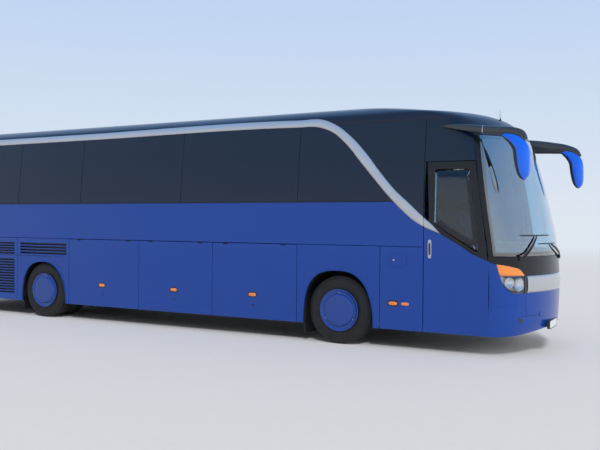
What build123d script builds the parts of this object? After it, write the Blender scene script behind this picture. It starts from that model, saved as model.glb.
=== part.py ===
from build123d import *
from math import atan2, cos, degrees, hypot, radians, sin
import os

os.makedirs("parts", exist_ok=True)

# Overall sizes of the coach, in millimetres. +X is forward, +Y is its left, +Z is up from the road.
wheelbase = 6080
front_overhang = 2900
rear_overhang = 3220
body_width = 2550
body_height = 3600
skirt_height = 283
near_mirror_reach = 2770
far_mirror_reach = 3050
tail_proud = 8

# The origin is on the road under the middle of the whole outline, from the plate seat on the tail to the
# longer mirror.
front_axle_x = (wheelbase + rear_overhang + tail_proud - far_mirror_reach) / 2
rear_axle_x = front_axle_x - wheelbase
body_front = front_axle_x + front_overhang
body_rear = rear_axle_x - rear_overhang
half_width = body_width / 2

# Heights of the main lines on the body.
crown_low = 420
bumper_belt = 900
lamp_line = 1104
screen_foot = 1365
flap_line = 1470
sill_end = 1820
window_sill = 2110
door_top = 2665
screen_top = 3020
roof_line = 3265
trim_top = 3375

# Lengths along the body, measured forward from the front axle.
rear_seam = front_axle_x - 8970
rear_arch_end = front_axle_x - 5441
flap_seam_1 = front_axle_x - 3803
flap_seam_2 = front_axle_x - 2271
front_arch_start = front_axle_x - 705
door_rear = front_axle_x + 1309
sill_bend_x = front_axle_x + 950
door_front = front_axle_x + 2233
window_seams = [front_axle_x + x for x in (-8960, -6763, -5167, -2920, -700)] + [door_rear]

# Thicknesses and clearances.
wall = 60
glass = 10
lamp_depth = 40
door_depth = 50
flap_depth = 40
roof_depth = 70
trim_proud = 14
seal = 0.5
hinge_gap = 0.3
panel_gap = 6
pillar = 90
deep = 3000

# Level outlines of the body shell: height, then how far the side, the front and the tail stand in from the
# widest points, then the depth of the rounded front, the front corner radius and the rear corner radius.
outlines = (
    (skirt_height, 0, 70, 50, 660, 420, 220),
    (crown_low, 0, 20, 5, 660, 420, 220),
    (bumper_belt, 0, 0, 0, 660, 420, 220),
    (screen_foot, 0, 20, 0, 660, 420, 220),
    (window_sill, 0, 165, 25, 660, 420, 220),
    (2600, 32, 290, 60, 660, 420, 220),
    (screen_top, 78, 440, 110, 660, 420, 230),
    (roof_line, 105, 670, 160, 660, 420, 240),
    (trim_top, 130, 900, 210, 700, 430, 260),
    (body_height - 120, 290, 1520, 380, 800, 480, 300),
    (body_height - 40, 590, 2150, 800, 640, 400, 250),
    (body_height, 950, 2900, 1500, 320, 200, 150),
)


def level_outline(side_in, front_in, rear_in, depth, corner, rear_corner, inset):
    """One level outline of the shell: straight sides, three tangent arcs in front, rounded corners behind."""
    half = half_width - side_in - inset
    nose = body_front - front_in - inset
    tail = body_rear + rear_in + inset
    depth, corner, rear_corner = depth - inset, corner - inset, rear_corner - inset
    shoulder = nose - depth
    across = half - corner
    front_radius = (depth**2 + across**2 - corner**2) / (2 * (depth - corner))
    bow_centre = nose - front_radius
    turn = atan2(across, shoulder - bow_centre)
    joint_x, joint_y = bow_centre + front_radius * cos(turn), front_radius * sin(turn)
    half_turn = (turn + radians(90)) / 2
    bend_x, bend_y = shoulder + corner * cos(half_turn), across + corner * sin(half_turn)
    slant = rear_corner * (1 - cos(radians(45)))
    Line((tail + rear_corner, -half), (shoulder, -half))
    ThreePointArc((shoulder, -half), (bend_x, -bend_y), (joint_x, -joint_y))
    ThreePointArc((joint_x, -joint_y), (nose, 0), (joint_x, joint_y))
    ThreePointArc((joint_x, joint_y), (bend_x, bend_y), (shoulder, half))
    Line((shoulder, half), (tail + rear_corner, half))
    ThreePointArc((tail + rear_corner, half), (tail + slant, half - slant), (tail, half - rear_corner))
    Line((tail, half - rear_corner), (tail, -half + rear_corner))
    ThreePointArc((tail, -half + rear_corner), (tail + slant, -half + slant), (tail + rear_corner, -half))


def hull(inset, roof_drop=0):
    """The body's outer form, taken in by inset all round and lowered by roof_drop above the windscreen."""
    with BuildPart() as body:
        for height, *row in outlines:
            level = height - (roof_drop if height > screen_top else 0)
            with BuildSketch(Plane.XY.offset(level)):
                with BuildLine():
                    level_outline(*row, inset)
                make_face()
        loft(ruled=True)
    return body.part


def side_prism(points, near, far):
    """A prism across the body whose outline is in the X-Z plane, from y = -near to y = -far."""
    with BuildPart() as prism:
        with BuildSketch(Plane.XZ.offset(near)):
            with BuildLine():
                Polyline(*points, close=True)
            make_face()
        extrude(amount=far - near)
    return prism.part


def block(x, y, z):
    """A box between two lengths, two widths and two heights."""
    with BuildPart() as box:
        with BuildSketch(Plane.XY.offset(z[0])):
            with Locations(((x[0] + x[1]) / 2, (y[0] + y[1]) / 2)):
                Rectangle(x[1] - x[0], y[1] - y[0])
        extrude(amount=z[1] - z[0])
    return box.part


outer = hull(0)
glass_back = hull(glass)
glass_seat = hull(glass + seal)
lamp_back = hull(lamp_depth)
lamp_seat = hull(lamp_depth + seal)
lining = hull(wall, roof_depth)


def skin(outside, inside, cutter):
    """What lies between two hulls and inside the cutter."""
    with BuildPart() as piece:
        add(outside)
        add(cutter, mode=Mode.INTERSECT)
        add(inside, mode=Mode.SUBTRACT)
    return piece.part


def within(whole, cutter):
    """The part of a form inside the cutter."""
    with BuildPart() as piece:
        add(whole)
        add(cutter, mode=Mode.INTERSECT)
    return piece.part


def mirrored(part):
    """The same piece on the coach's other side."""
    return mirror(part, about=Plane.XZ, mode=Mode.PRIVATE)


def write(part, name):
    part.label = name
    export_step(part, f"parts/{name}.step")


def full_prism(points):
    """A prism right across the body."""
    return side_prism(points, -deep, deep)


def row_at(height):
    """The outline row at any height, worked out between the two rows around it."""
    for below, above in zip(outlines, outlines[1:]):
        if below[0] <= height <= above[0]:
            share = (height - below[0]) / (above[0] - below[0])
            return [low + share * (high - low) for low, high in zip(below[1:], above[1:])]
    return outlines[-1][1:]


def front_x(height, across=0):
    """How far forward the rounded front reaches at a height and a distance from the middle."""
    side_in, front_in, _, depth, corner, _ = row_at(height)
    nose, run = body_front - front_in, half_width - side_in - corner
    radius = (depth**2 + run**2 - corner**2) / (2 * (depth - corner))
    return nose - radius + (radius**2 - across**2) ** 0.5


def rear_x(height):
    return body_rear + row_at(height)[2]


# Slanted edges of the windscreen pillars, both parallel to the door's front edge.
pillar_lean = (2233 - 2030) / (door_top - 1290)
pillar_bend = 1290
pillar_width = 70
screen_frame = 60
driver_sill = 1500


def pillar_x(height):
    return door_front - pillar_lean * max(height - pillar_bend, 0)


def screen_x(height):
    return pillar_x(height) + pillar_width


# The roof's front shoulder, where the side glass ends along the slanted edge down to the windscreen's corner.
roof_edge_x = pillar_x(screen_top)
roof_shoulder_x = front_axle_x + 1750

# Roof, with two escape hatches. It comes down over the windscreen in front.
hatch_length, hatch_width, hatch_height = 700, 620, 20
hatches = [front_axle_x + x for x in (-1500, -6500)]
with BuildPart() as roof:
    roof_outline = [
        (body_rear - 1, roof_line),
        (roof_shoulder_x, roof_line),
        (roof_edge_x, screen_top),
        (body_front + 1, screen_top),
        (body_front + 1, body_height + 1),
        (body_rear - 1, body_height + 1),
    ]
    add(skin(outer, lining, full_prism(roof_outline)))
    for x in hatches:
        with BuildSketch(Plane.XY.offset(body_height - roof_depth / 2)):
            with Locations((x, 0)):
                RectangleRounded(hatch_length, hatch_width, 60)
        extrude(amount=roof_depth / 2 + hatch_height)
write(roof.part, "roof")


def upper_outline(front_sill):
    """The window wall seen from the side. Its sill drops to the door's rear edge, then goes on at front_sill."""
    return [
        (rear_seam, window_sill),
        (sill_bend_x, window_sill),
        (door_rear, sill_end),
        (door_rear, front_sill),
        (pillar_x(front_sill), front_sill),
        (roof_edge_x, screen_top),
        (roof_shoulder_x, roof_line),
        (rear_seam, roof_line),
    ]


def upper_wall(front_sill):
    """A window wall: pillars and rails behind the flush glass band."""
    low, high = window_sill + screen_frame, roof_line - 90
    with BuildPart() as piece:
        add(skin(glass_seat, lining, side_prism(upper_outline(front_sill), 0, deep)))
        windows = [
            block((start + pillar / 2, end - pillar / 2), (-deep, -half_width / 2), (low, high))
            for start, end in zip(window_seams, window_seams[1:])
        ]
        add(windows, mode=Mode.SUBTRACT)
        add(
            side_prism(
                [
                    (door_rear + pillar / 2, front_sill + screen_frame),
                    (pillar_x(front_sill) - pillar, front_sill + screen_frame),
                    (roof_edge_x - pillar, screen_top),
                    (roof_shoulder_x - pillar, high),
                    (door_rear + pillar / 2, high),
                ],
                half_width / 2,
                deep,
            ),
            mode=Mode.SUBTRACT,
        )
    return piece.part


write(upper_wall(door_top), "right_upper_wall")
write(mirrored(upper_wall(driver_sill)), "left_upper_wall")


def side_glass(front_sill):
    return skin(outer, glass_back, side_prism(upper_outline(front_sill), 0, deep))


write(side_glass(door_top), "right_side_glass")
write(mirrored(side_glass(driver_sill)), "left_side_glass")

# Luggage flaps and the barrel hinges along their top edges.
bays = ((rear_arch_end, flap_seam_1), (flap_seam_1, flap_seam_2), (flap_seam_2, front_arch_start))
barrel_radius = 6
barrel_drop = 12
barrel_lip = 4
body_barrel = 80
flap_barrel = 60
hinge_inset = 250
hinge_y = -half_width + barrel_radius
hinge_z = flap_line - barrel_drop


def barrel(x, y, z, length, radius=barrel_radius, along=(1, 0, 0)):
    """A round hinge barrel centred at a point."""
    with BuildPart() as piece:
        with BuildSketch(Plane(origin=(x, y, z), z_dir=along)):
            Circle(radius)
        extrude(amount=length / 2, both=True)
    return piece.part


def hinge_stations(start, end):
    return (start + hinge_inset, end - hinge_inset)


# Wheel arches: upright sides, round corners and a short flat top.
arch_half = 570
arch_corner = 450
arch_top = 1080


def arch_prism(x, grow, near, far):
    half, top, corner = arch_half + grow, arch_top + grow, arch_corner + grow
    bend = corner * (1 - cos(radians(45)))
    with BuildPart() as piece:
        with BuildSketch(Plane.XZ.offset(near)):
            with BuildLine():
                Line((x - half, 0), (x - half, top - corner))
                ThreePointArc(
                    (x - half, top - corner), (x - half + bend, top - bend), (x - half + corner, top)
                )
                Line((x - half + corner, top), (x + half - corner, top))
                ThreePointArc(
                    (x + half - corner, top), (x + half - bend, top - bend), (x + half, top - corner)
                )
                Line((x + half, top - corner), (x + half, 0))
                Line((x + half, 0), (x - half, 0))
            make_face()
        extrude(amount=far - near)
    return piece.part


# Grilles in the lower walls: rear end, front end, foot, top and number of slots.
grilles = (
    (front_axle_x - 6710, front_axle_x - 5515, 1200, 1380, 4),
    (front_axle_x - 8600, front_axle_x - 6858, 1162, 1384, 5),
    (front_axle_x - 8600, front_axle_x - 6855, 409, 1068, 13),
)
slot_share = 0.6
mullion = 40


def grille_slots():
    """The slots of every grille in one side, each grille parted by a mullion in its middle."""
    slots = []
    for start, end, foot, top, count in grilles:
        pitch = (top - foot) / count
        middle = (start + end) / 2
        for index in range(count):
            low = foot + pitch * (index + (1 - slot_share) / 2)
            for ends in ((start, middle - mullion / 2), (middle + mullion / 2, end)):
                slots.append(block(ends, (-deep, -half_width / 2), (low, low + pitch * slot_share)))
    return slots


def lower_wall(front_end):
    """A lower side wall with its arches, flap bays and grille slots; front_end is its outline in front."""
    with BuildPart() as piece:
        sill = [(door_rear, sill_end), (sill_bend_x, window_sill), (rear_seam, window_sill)]
        outline = [(rear_seam, 0), *front_end, *sill]
        add(skin(outer, lining, side_prism(outline, 0, deep)))
        for axle in (front_axle_x, rear_axle_x):
            add(arch_prism(axle, 0, half_width / 2, deep), mode=Mode.SUBTRACT)
        add(
            block((rear_arch_end, front_arch_start), (-deep, -half_width / 2), (0, flap_line)),
            mode=Mode.SUBTRACT,
        )
        for start, end in bays:
            for x in hinge_stations(start, end):
                add(barrel(x, hinge_y, hinge_z, body_barrel))
                add(
                    block(
                        (x - body_barrel / 2, x + body_barrel / 2),
                        (hinge_y, hinge_y + barrel_radius),
                        (hinge_z, flap_line + 1),
                    )
                )
        add(grille_slots(), mode=Mode.SUBTRACT)
    return piece.part


right_front_end = [(door_rear, 0)]
left_front_end = [
    (door_front, 0),
    (door_front, pillar_bend),
    (pillar_x(driver_sill), driver_sill),
    (door_rear, driver_sill),
]
write(lower_wall(right_front_end), "right_lower_wall")
write(mirrored(lower_wall(left_front_end)), "left_lower_wall")


def luggage_flap(start, end):
    """A luggage flap with its halves of two barrel hinges on the top edge."""
    outline = [
        (start + panel_gap / 2, 0),
        (end - panel_gap / 2, 0),
        (end - panel_gap / 2, hinge_z - barrel_lip),
        (start + panel_gap / 2, hinge_z - barrel_lip),
    ]
    with BuildPart() as piece:
        add(skin(outer, lamp_back, side_prism(outline, 0, deep)))
        for x in hinge_stations(start, end):
            for side in (-1, 1):
                middle = x + side * (body_barrel / 2 + hinge_gap + flap_barrel / 2)
                add(barrel(middle, hinge_y, hinge_z, flap_barrel))
            add(
                barrel(x, hinge_y, hinge_z, body_barrel + 2 * hinge_gap, barrel_radius + hinge_gap),
                mode=Mode.SUBTRACT,
            )
    return piece.part


for number, (start, end) in enumerate(bays, 1):
    flap = luggage_flap(start, end)
    write(flap, f"right_flap_{number}")
    write(mirrored(flap), f"left_flap_{number}")

# Front: bumper, mask with the windscreen pillars, windscreen, lamps and bar.
lamp_rear_x = front_axle_x + 2350
lamp_inner_y = 950
lamp_foot = 910
indicator_top = 1260
bar_foot = 890
plate_width, plate_height, plate_proud = 520, 120, 12
front_plate_z = 520
front_tow_y, front_tow_z = -620, 570
rear_tow_y, rear_tow_z = 560, 560
tow_bore, tow_boss, tow_length = 18, 45, 110
tow_flange, tow_flange_start, tow_end = 25, wall + 30, 20
front_tow_set_in, rear_tow_set_in = 109, 4


def lamp_space(low, high):
    return block((lamp_rear_x, body_front + 1), (-deep, -lamp_inner_y), (low, high))


def both_sides(part):
    with BuildPart() as pair:
        add([part, mirrored(part)])
    return pair.part


headlamp = skin(outer, lamp_back, lamp_space(lamp_foot + seal, lamp_line - seal))
indicator = skin(outer, lamp_back, lamp_space(lamp_line + seal, indicator_top - seal))
write(both_sides(headlamp), "headlamps")
write(both_sides(indicator), "front_indicators")
front_tow_mouth = body_front - front_tow_set_in

with BuildPart() as front_bumper:
    add(skin(outer, lining, block((door_front, body_front + 1), (-deep, deep), (0, lamp_line))))
    lamp_hole = skin(outer, lamp_seat, lamp_space(lamp_foot, lamp_line + 1))
    add([lamp_hole, mirrored(lamp_hole)], mode=Mode.SUBTRACT)
    plate_front = front_x(front_plate_z) + plate_proud
    add(
        block(
            (plate_front - wall, plate_front),
            (-plate_width / 2, plate_width / 2),
            (front_plate_z - plate_height / 2, front_plate_z + plate_height / 2),
        )
    )
    add(
        barrel(front_tow_mouth, front_tow_y, front_tow_z, 2 * tow_length, tow_boss + seal),
        mode=Mode.SUBTRACT,
    )
write(front_bumper.part, "front_bumper")

screen_outline = [
    (screen_x(screen_foot), screen_foot),
    (body_front + 1, screen_foot),
    (body_front + 1, screen_top),
    (screen_x(screen_top), screen_top),
]
write(skin(outer, glass_back, full_prism(screen_outline)), "windscreen")

# The inner post of the door arm stands on two brackets behind the right pillar.
post_x, post_y = front_axle_x + 2170, -1174
post_radius = 20
arm_foot, arm_top = 1250, 1330
bracket_height = 20
bracket_gap = 60
post_foot, post_top = arm_foot - bracket_gap, arm_top + bracket_gap
with BuildPart() as front_mask:
    mask_outline = [
        (door_front, lamp_line),
        (body_front + 1, lamp_line),
        (body_front + 1, screen_top),
        (pillar_x(screen_top), screen_top),
        (door_front, pillar_bend),
    ]
    rebate = [
        (screen_x(screen_foot) - seal, screen_foot - seal),
        (body_front + 1, screen_foot - seal),
        (body_front + 1, screen_top + 1),
        (screen_x(screen_top) - seal, screen_top + 1),
    ]
    opening = [
        (screen_x(screen_foot) + screen_frame, screen_foot + screen_frame),
        (body_front + 1, screen_foot + screen_frame),
        (body_front + 1, screen_top - screen_frame),
        (screen_x(screen_top) + screen_frame, screen_top - screen_frame),
    ]
    add(skin(outer, lining, full_prism(mask_outline)))
    add(skin(outer, glass_seat, full_prism(rebate)), mode=Mode.SUBTRACT)
    add(full_prism(opening), mode=Mode.SUBTRACT)
    lamp_hole = skin(outer, lamp_seat, lamp_space(lamp_line - 1, indicator_top))
    add([lamp_hole, mirrored(lamp_hole)], mode=Mode.SUBTRACT)
    with BuildSketch(Plane.XY.offset(post_foot)):
        with Locations((post_x, post_y)):
            Circle(post_radius)
    extrude(amount=post_top - post_foot)
    for low in (post_foot, post_top - bracket_height):
        plate = block(
            (post_x - post_radius - 10, front_axle_x + 2330),
            (-half_width, post_y + post_radius + 10),
            (low, low + bracket_height),
        )
        add(within(lining, plate))
write(front_mask.part, "front_mask")

proud = hull(-trim_proud)
front_bar_half = lamp_inner_y - 10
with BuildPart() as front_bar:
    add(
        skin(
            proud,
            outer,
            block((door_front, body_front + 50), (-front_bar_half, front_bar_half), (bar_foot, lamp_line)),
        )
    )
write(front_bar.part, "front_bar")

# Side trim: one silver line along the roof edge that sweeps down to a tip above the door's middle.
trim_bend_up, trim_bend_low = front_axle_x - 330, front_axle_x - 500
trim_turn_up, trim_turn_low = (front_axle_x + 650, 2529), (front_axle_x + 334, 2675)
trim_tip = (front_axle_x + 1557, 1656)
trim_foot = 3256
trim_rear = rear_seam


def trim_prism():
    with BuildPart() as piece:
        with BuildSketch(Plane.XZ):
            with BuildLine():
                Line((trim_rear, trim_foot), (trim_bend_low, trim_foot))
                ThreePointArc((trim_bend_low, trim_foot), (front_axle_x - 60, 3079), trim_turn_low)
                ThreePointArc(trim_turn_low, (front_axle_x + 880, 2079), trim_tip)
                ThreePointArc(trim_tip, (front_axle_x + 1109, 2073), trim_turn_up)
                ThreePointArc(trim_turn_up, (front_axle_x + 200, 3038), (trim_bend_up, trim_top))
                Line((trim_bend_up, trim_top), (trim_rear, trim_top))
                Line((trim_rear, trim_top), (trim_rear, trim_foot))
            make_face()
        extrude(amount=deep)
    return piece.part


trim = skin(proud, outer, trim_prism())
door_gap_x = door_rear + panel_gap / 2


far_box_y, far_box_z = (-deep, deep), (0, 2 * deep)
wall_trim = within(trim, block((trim_rear - 1, door_gap_x - panel_gap / 2), far_box_y, far_box_z))
leaf_trim = within(trim, block((door_gap_x + panel_gap / 2, body_front), far_box_y, far_box_z))
with BuildPart() as side_trim:
    add([wall_trim, mirrored(trim)])
write(side_trim.part, "side_trim")

# Rear wall with its window, engine lid and corner lamps.
rear_glass_half, rear_glass_foot, rear_glass_top = 980, 2080, 3200
lid_half, lid_foot, lid_top = 900, 640, 1640
tail_lamp_inner_y, tail_lamp_depth = 1010, 160
tail_lamp_foot, tail_lamp_top = 760, 1280
rear_plate_z = 500


def rear_box(half, low, high, depth=wall + 200):
    return block((body_rear - 1, body_rear + depth), (-half, half), (low, high))


def tail_lamp_space(grow):
    return block(
        (body_rear - 1, body_rear + tail_lamp_depth + grow),
        (-deep, -tail_lamp_inner_y + grow),
        (tail_lamp_foot - grow, tail_lamp_top + grow),
    )


tail_lamp = skin(outer, lamp_back, tail_lamp_space(0))
write(both_sides(tail_lamp), "tail_lamps")
write(skin(outer, glass_back, rear_box(rear_glass_half, rear_glass_foot, rear_glass_top, 400)), "rear_window")

lid_axis_x = rear_x(lid_top) + barrel_radius
lid_axis_z = lid_top - barrel_drop
lid_stations = (-lid_half + hinge_inset, lid_half - hinge_inset)
rear_tow_mouth = body_rear + rear_tow_set_in
with BuildPart() as rear_wall:
    add(skin(outer, lining, block((body_rear - 1, rear_seam), far_box_y, (0, roof_line))))
    glass_hole = skin(
        outer,
        glass_seat,
        rear_box(rear_glass_half + seal, rear_glass_foot - seal, rear_glass_top + seal, 400),
    )
    lamp_hole = skin(outer, lamp_seat, tail_lamp_space(seal))
    add(
        [
            glass_hole,
            lamp_hole,
            mirrored(lamp_hole),
            rear_box(
                rear_glass_half - screen_frame,
                rear_glass_foot + screen_frame,
                rear_glass_top - screen_frame,
                400,
            ),
            rear_box(lid_half, lid_foot, lid_top),
            barrel(rear_tow_mouth, rear_tow_y, rear_tow_z, 2 * tow_length, tow_boss + seal),
        ],
        mode=Mode.SUBTRACT,
    )
    for y in lid_stations:
        add(barrel(lid_axis_x, y, lid_axis_z, body_barrel, along=(0, 1, 0)))
        add(
            block(
                (lid_axis_x, lid_axis_x + barrel_radius),
                (y - body_barrel / 2, y + body_barrel / 2),
                (lid_axis_z, lid_top + 1),
            )
        )
    plate_back = body_rear - tail_proud
    add(
        block(
            (plate_back, plate_back + wall),
            (-plate_width / 2, plate_width / 2),
            (rear_plate_z - plate_height / 2, rear_plate_z + plate_height / 2),
        )
    )
write(rear_wall.part, "rear_wall")

with BuildPart() as engine_lid:
    add(
        skin(
            outer,
            lamp_back,
            rear_box(lid_half - panel_gap, lid_foot + panel_gap, lid_axis_z - barrel_lip),
        )
    )
    for y in lid_stations:
        for side in (-1, 1):
            middle = y + side * (body_barrel / 2 + hinge_gap + flap_barrel / 2)
            add(barrel(lid_axis_x, middle, lid_axis_z, flap_barrel, along=(0, 1, 0)))
        add(
            barrel(
                lid_axis_x,
                y,
                lid_axis_z,
                body_barrel + 2 * hinge_gap,
                barrel_radius + hinge_gap,
                along=(0, 1, 0),
            ),
            mode=Mode.SUBTRACT,
        )
write(engine_lid.part, "engine_lid")

# Tow sockets: threaded tubes in round holes at both ends, each with a flange inside the wall.
with BuildPart() as tow_sockets:
    for mouth, inward, y, z in (
        (front_tow_mouth, -1, front_tow_y, front_tow_z),
        (rear_tow_mouth, 1, rear_tow_y, rear_tow_z),
    ):
        for radius, near in ((tow_boss, 0), (tow_boss + tow_flange, tow_flange_start)):
            start = mouth + inward * near
            with BuildSketch(Plane(origin=(start, y, z), z_dir=(inward, 0, 0))):
                Circle(radius)
            extrude(amount=tow_length - near)
        with BuildSketch(Plane(origin=(mouth, y, z), z_dir=(inward, 0, 0))):
            Circle(tow_bore)
        extrude(amount=tow_length - tow_end, mode=Mode.SUBTRACT)
write(tow_sockets.part, "tow_sockets")

# Door leaf, its glass and the swan-neck arm that swings it out and forward.
leaf_gap = panel_gap
leaf_arm_x, leaf_arm_y = post_x - 481, -1140
arm_thick = 40
post_boss, pin_boss = 32, 26
pin_radius = 12
elbow = (post_x - 88, post_y + 146)
leaf_front = [
    (door_front - leaf_gap, 0),
    (door_front - leaf_gap, pillar_bend),
    (pillar_x(door_top) - leaf_gap, door_top - leaf_gap),
]
leaf_outline = [(door_rear + leaf_gap, 0), *leaf_front, (door_rear + leaf_gap, door_top - leaf_gap)]
door_glass_outline = [
    (front_axle_x + 1430, 1790),
    (front_axle_x + 2130, 1345),
    (front_axle_x + 1965, 2575),
    (front_axle_x + 1430, 2575),
]
door_hole = [
    (front_axle_x + 1480, 1830),
    (front_axle_x + 2070, 1450),
    (front_axle_x + 1925, 2525),
    (front_axle_x + 1480, 2525),
]
door_back = hull(door_depth)
write(skin(outer, glass_back, side_prism(door_glass_outline, 0, deep)), "door_glass")
with BuildPart() as door_leaf:
    add(skin(outer, door_back, side_prism(leaf_outline, 0, deep)))
    add(leaf_trim)
    add(
        [
            skin(proud, glass_seat, side_prism(door_glass_outline, 0, deep)),
            side_prism(door_hole, 0, deep),
        ],
        mode=Mode.SUBTRACT,
    )
    lug_inner = leaf_arm_y + pin_boss
    for low, high in ((arm_foot - 30, arm_foot - 3), (arm_top + 3, arm_top + 30)):
        add(
            block(
                (leaf_arm_x - pin_boss, leaf_arm_x + pin_boss),
                (-half_width + door_depth, lug_inner),
                (low, high),
            )
        )
    with BuildSketch(Plane.XY.offset(arm_foot - 30)):
        with Locations((leaf_arm_x, leaf_arm_y)):
            Circle(pin_radius)
    extrude(amount=arm_top - arm_foot + 60)
write(door_leaf.part, "door_leaf")

with BuildPart() as door_arm:
    with BuildSketch(Plane.XY.offset(arm_foot)):
        with BuildLine():
            FilletPolyline((post_x, post_y), elbow, (leaf_arm_x, leaf_arm_y), radius=60)
        trace(line_width=arm_thick)
        for point, radius in (((post_x, post_y), post_boss), ((leaf_arm_x, leaf_arm_y), pin_boss)):
            with Locations(point):
                Circle(radius)
        for point, radius in (((post_x, post_y), post_radius), ((leaf_arm_x, leaf_arm_y), pin_radius)):
            with Locations(point):
                Circle(radius + hinge_gap, mode=Mode.SUBTRACT)
    extrude(amount=arm_top - arm_foot)
write(door_arm.part, "door_arm")

# Floors: the passenger deck, and the lower cab floor with the entrance steps and the bulkheads at both ends.
deck_foot, deck_top = 1340, 1400
cab_foot, cab_top = 860, 900
inner_half = half_width - wall
housing_x = arch_half + 30
deck_front = front_axle_x + 1200
rear_bulkhead_x = body_rear + 300
front_bulkhead_x = front_axle_x + 2330
bulkhead = 30
well_rear, well_front = door_rear + 20, front_axle_x + 2090
well_inner = 620
step_heights = (400, 570, 740)
step_tread = 195
aisle_half = 240
aisle_steps = (1000, 1120, 1230)
tread_depth = 210
with BuildPart() as floor_deck:
    add(block((rear_bulkhead_x, deck_front), (-inner_half, inner_half), (deck_foot, deck_top)))
    add(lining, mode=Mode.INTERSECT)
write(floor_deck.part, "floor_deck")

with BuildPart() as cab_floor:
    cab_rear = front_axle_x + housing_x + bulkhead
    add(block((cab_rear, front_bulkhead_x), (-inner_half, inner_half), (cab_foot, cab_top)))
    add(block((well_rear, well_front), (-deep, -well_inner), (cab_foot - 1, cab_top + 1)), mode=Mode.SUBTRACT)
    add(block((deck_front - bulkhead, deck_front), (-inner_half, inner_half), (cab_top - 1, deck_foot)))
    add(
        block((front_bulkhead_x - bulkhead, front_bulkhead_x), (-inner_half, inner_half), (330, 1150)),
    )
    for index, height in enumerate(aisle_steps):
        add(
            block(
                (deck_front, deck_front + tread_depth * (len(aisle_steps) - index)),
                (-aisle_half, aisle_half),
                (cab_top - 1, height),
            )
        )
    for index, height in enumerate(step_heights):
        inner = -well_inner - step_tread * (len(step_heights) - 1 - index)
        add(block((well_rear, well_front), (inner - step_tread, inner), (height - 40, height)))
        top = step_heights[index + 1] if index + 1 < len(step_heights) else cab_top
        add(block((well_rear, well_front), (inner - 1, inner + bulkhead), (height - 40, top)))
    for x in (well_rear - bulkhead, well_front):
        add(block((x, x + bulkhead), (-inner_half, -well_inner + bulkhead), (step_heights[0] - 40, cab_top)))
    add(lining, mode=Mode.INTERSECT)
write(cab_floor.part, "cab_floor")

# Bay frame: the luggage floor with its bulkheads, posts, rails and jack pads.
flap_clear = flap_depth + 15
bay_half = half_width - flap_clear
bay_floor_foot, bay_floor_top = 420, 450
rail_y, rail_width, rail_foot = 430, 90, 310
post_width = 60
bay_rear, bay_front = rear_arch_end + 10, front_arch_start - 10
jack_half, jack_foot = 60, 300
jack_from_end, jack_from_side = 200, 150
with BuildPart() as bay_frame:
    add(block((bay_rear, bay_front), (-bay_half, bay_half), (bay_floor_foot, bay_floor_top)))
    for x in (bay_rear, bay_front - bulkhead):
        add(block((x, x + bulkhead), (-bay_half, bay_half), (bay_floor_foot, deck_foot)))
    for side in (-1, 1):
        for x in (flap_seam_1, flap_seam_2):
            across = sorted((side * bay_half, side * (bay_half - post_width)))
            add(block((x - post_width / 2, x + post_width / 2), across, (bay_floor_foot, deck_foot)))
        across = (side * rail_y - rail_width / 2, side * rail_y + rail_width / 2)
        add(block((bay_rear, bay_front), across, (rail_foot, bay_floor_foot + 1)))
        for x in (bay_rear + jack_from_end, bay_front - jack_from_end):
            y = side * (bay_half - jack_from_side)
            add(
                block(
                    (x - jack_half, x + jack_half),
                    (y - jack_half, y + jack_half),
                    (jack_foot, bay_floor_foot + 1),
                )
            )
write(bay_frame.part, "bay_frame")

# Subframes in front of and behind the bay: beams, cross members and outriggers to the wheel housings.
beam_y, beam_width = 460, 80
beam_foot, beam_top = 800, cab_foot
housing_inner, housing_wall, housing_foot = 560, 25, 350
axle_slot, outrigger = 220, 320
subframe_rear, upright_length = rear_bulkhead_x + 60, 80
rear_cross = (rear_axle_x - 900, rear_axle_x + 600)
front_cross = (front_axle_x - 620, front_axle_x + 1000)
spans = (
    (subframe_rear, bay_rear, rear_axle_x, rear_cross),
    (bay_front, front_bulkhead_x - bulkhead, front_axle_x, front_cross),
)
with BuildPart() as subframes:
    for start, end, axle, crosses in spans:
        for side in (-1, 1):
            across = (side * beam_y - beam_width / 2, side * beam_y + beam_width / 2)
            add(block((start, end), across, (beam_foot, beam_top)))
            across = sorted((side * beam_y, side * housing_inner))
            for x in (axle - outrigger, axle + outrigger):
                add(block((x - beam_width / 2, x + beam_width / 2), across, (beam_foot, beam_top)))
        for x in crosses:
            add(block((x - beam_width / 2, x + beam_width / 2), (-beam_y, beam_y), (beam_foot, beam_top)))
    for x in (subframe_rear, rear_cross[0]):
        for side in (-1, 1):
            across = (side * beam_y - beam_width / 2, side * beam_y + beam_width / 2)
            add(block((x, x + upright_length), across, (beam_top - 1, deck_foot)))
write(subframes.part, "subframes")

# Wheel housings: an arched shell with an inner wall, cut away for the axle.
with BuildPart() as wheel_housings:
    for axle in (front_axle_x, rear_axle_x):
        with BuildPart(mode=Mode.PRIVATE) as housing:
            add(arch_prism(axle, housing_wall, housing_inner, inner_half))
            hollow = arch_prism(axle, 0, housing_inner + housing_wall, inner_half + 1)
            below = block((axle - deep, axle + deep), far_box_y, (0, housing_foot))
            slot = block((axle - axle_slot, axle + axle_slot), far_box_y, (0, beam_foot))
            add([hollow, below, slot], mode=Mode.SUBTRACT)
        add([housing.part, mirrored(housing.part)])
write(wheel_housings.part, "wheel_housings")

# Engine: one plain block between the rear beams.
engine_rear, engine_length = rear_bulkhead_x + 40, 1350
engine_half = beam_y - beam_width / 2
engine_foot, engine_top = 430, 1230
with BuildPart() as engine:
    add(
        block(
            (engine_rear, engine_rear + engine_length),
            (-engine_half, engine_half),
            (engine_foot, engine_top),
        )
    )
write(engine.part, "engine")

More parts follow.
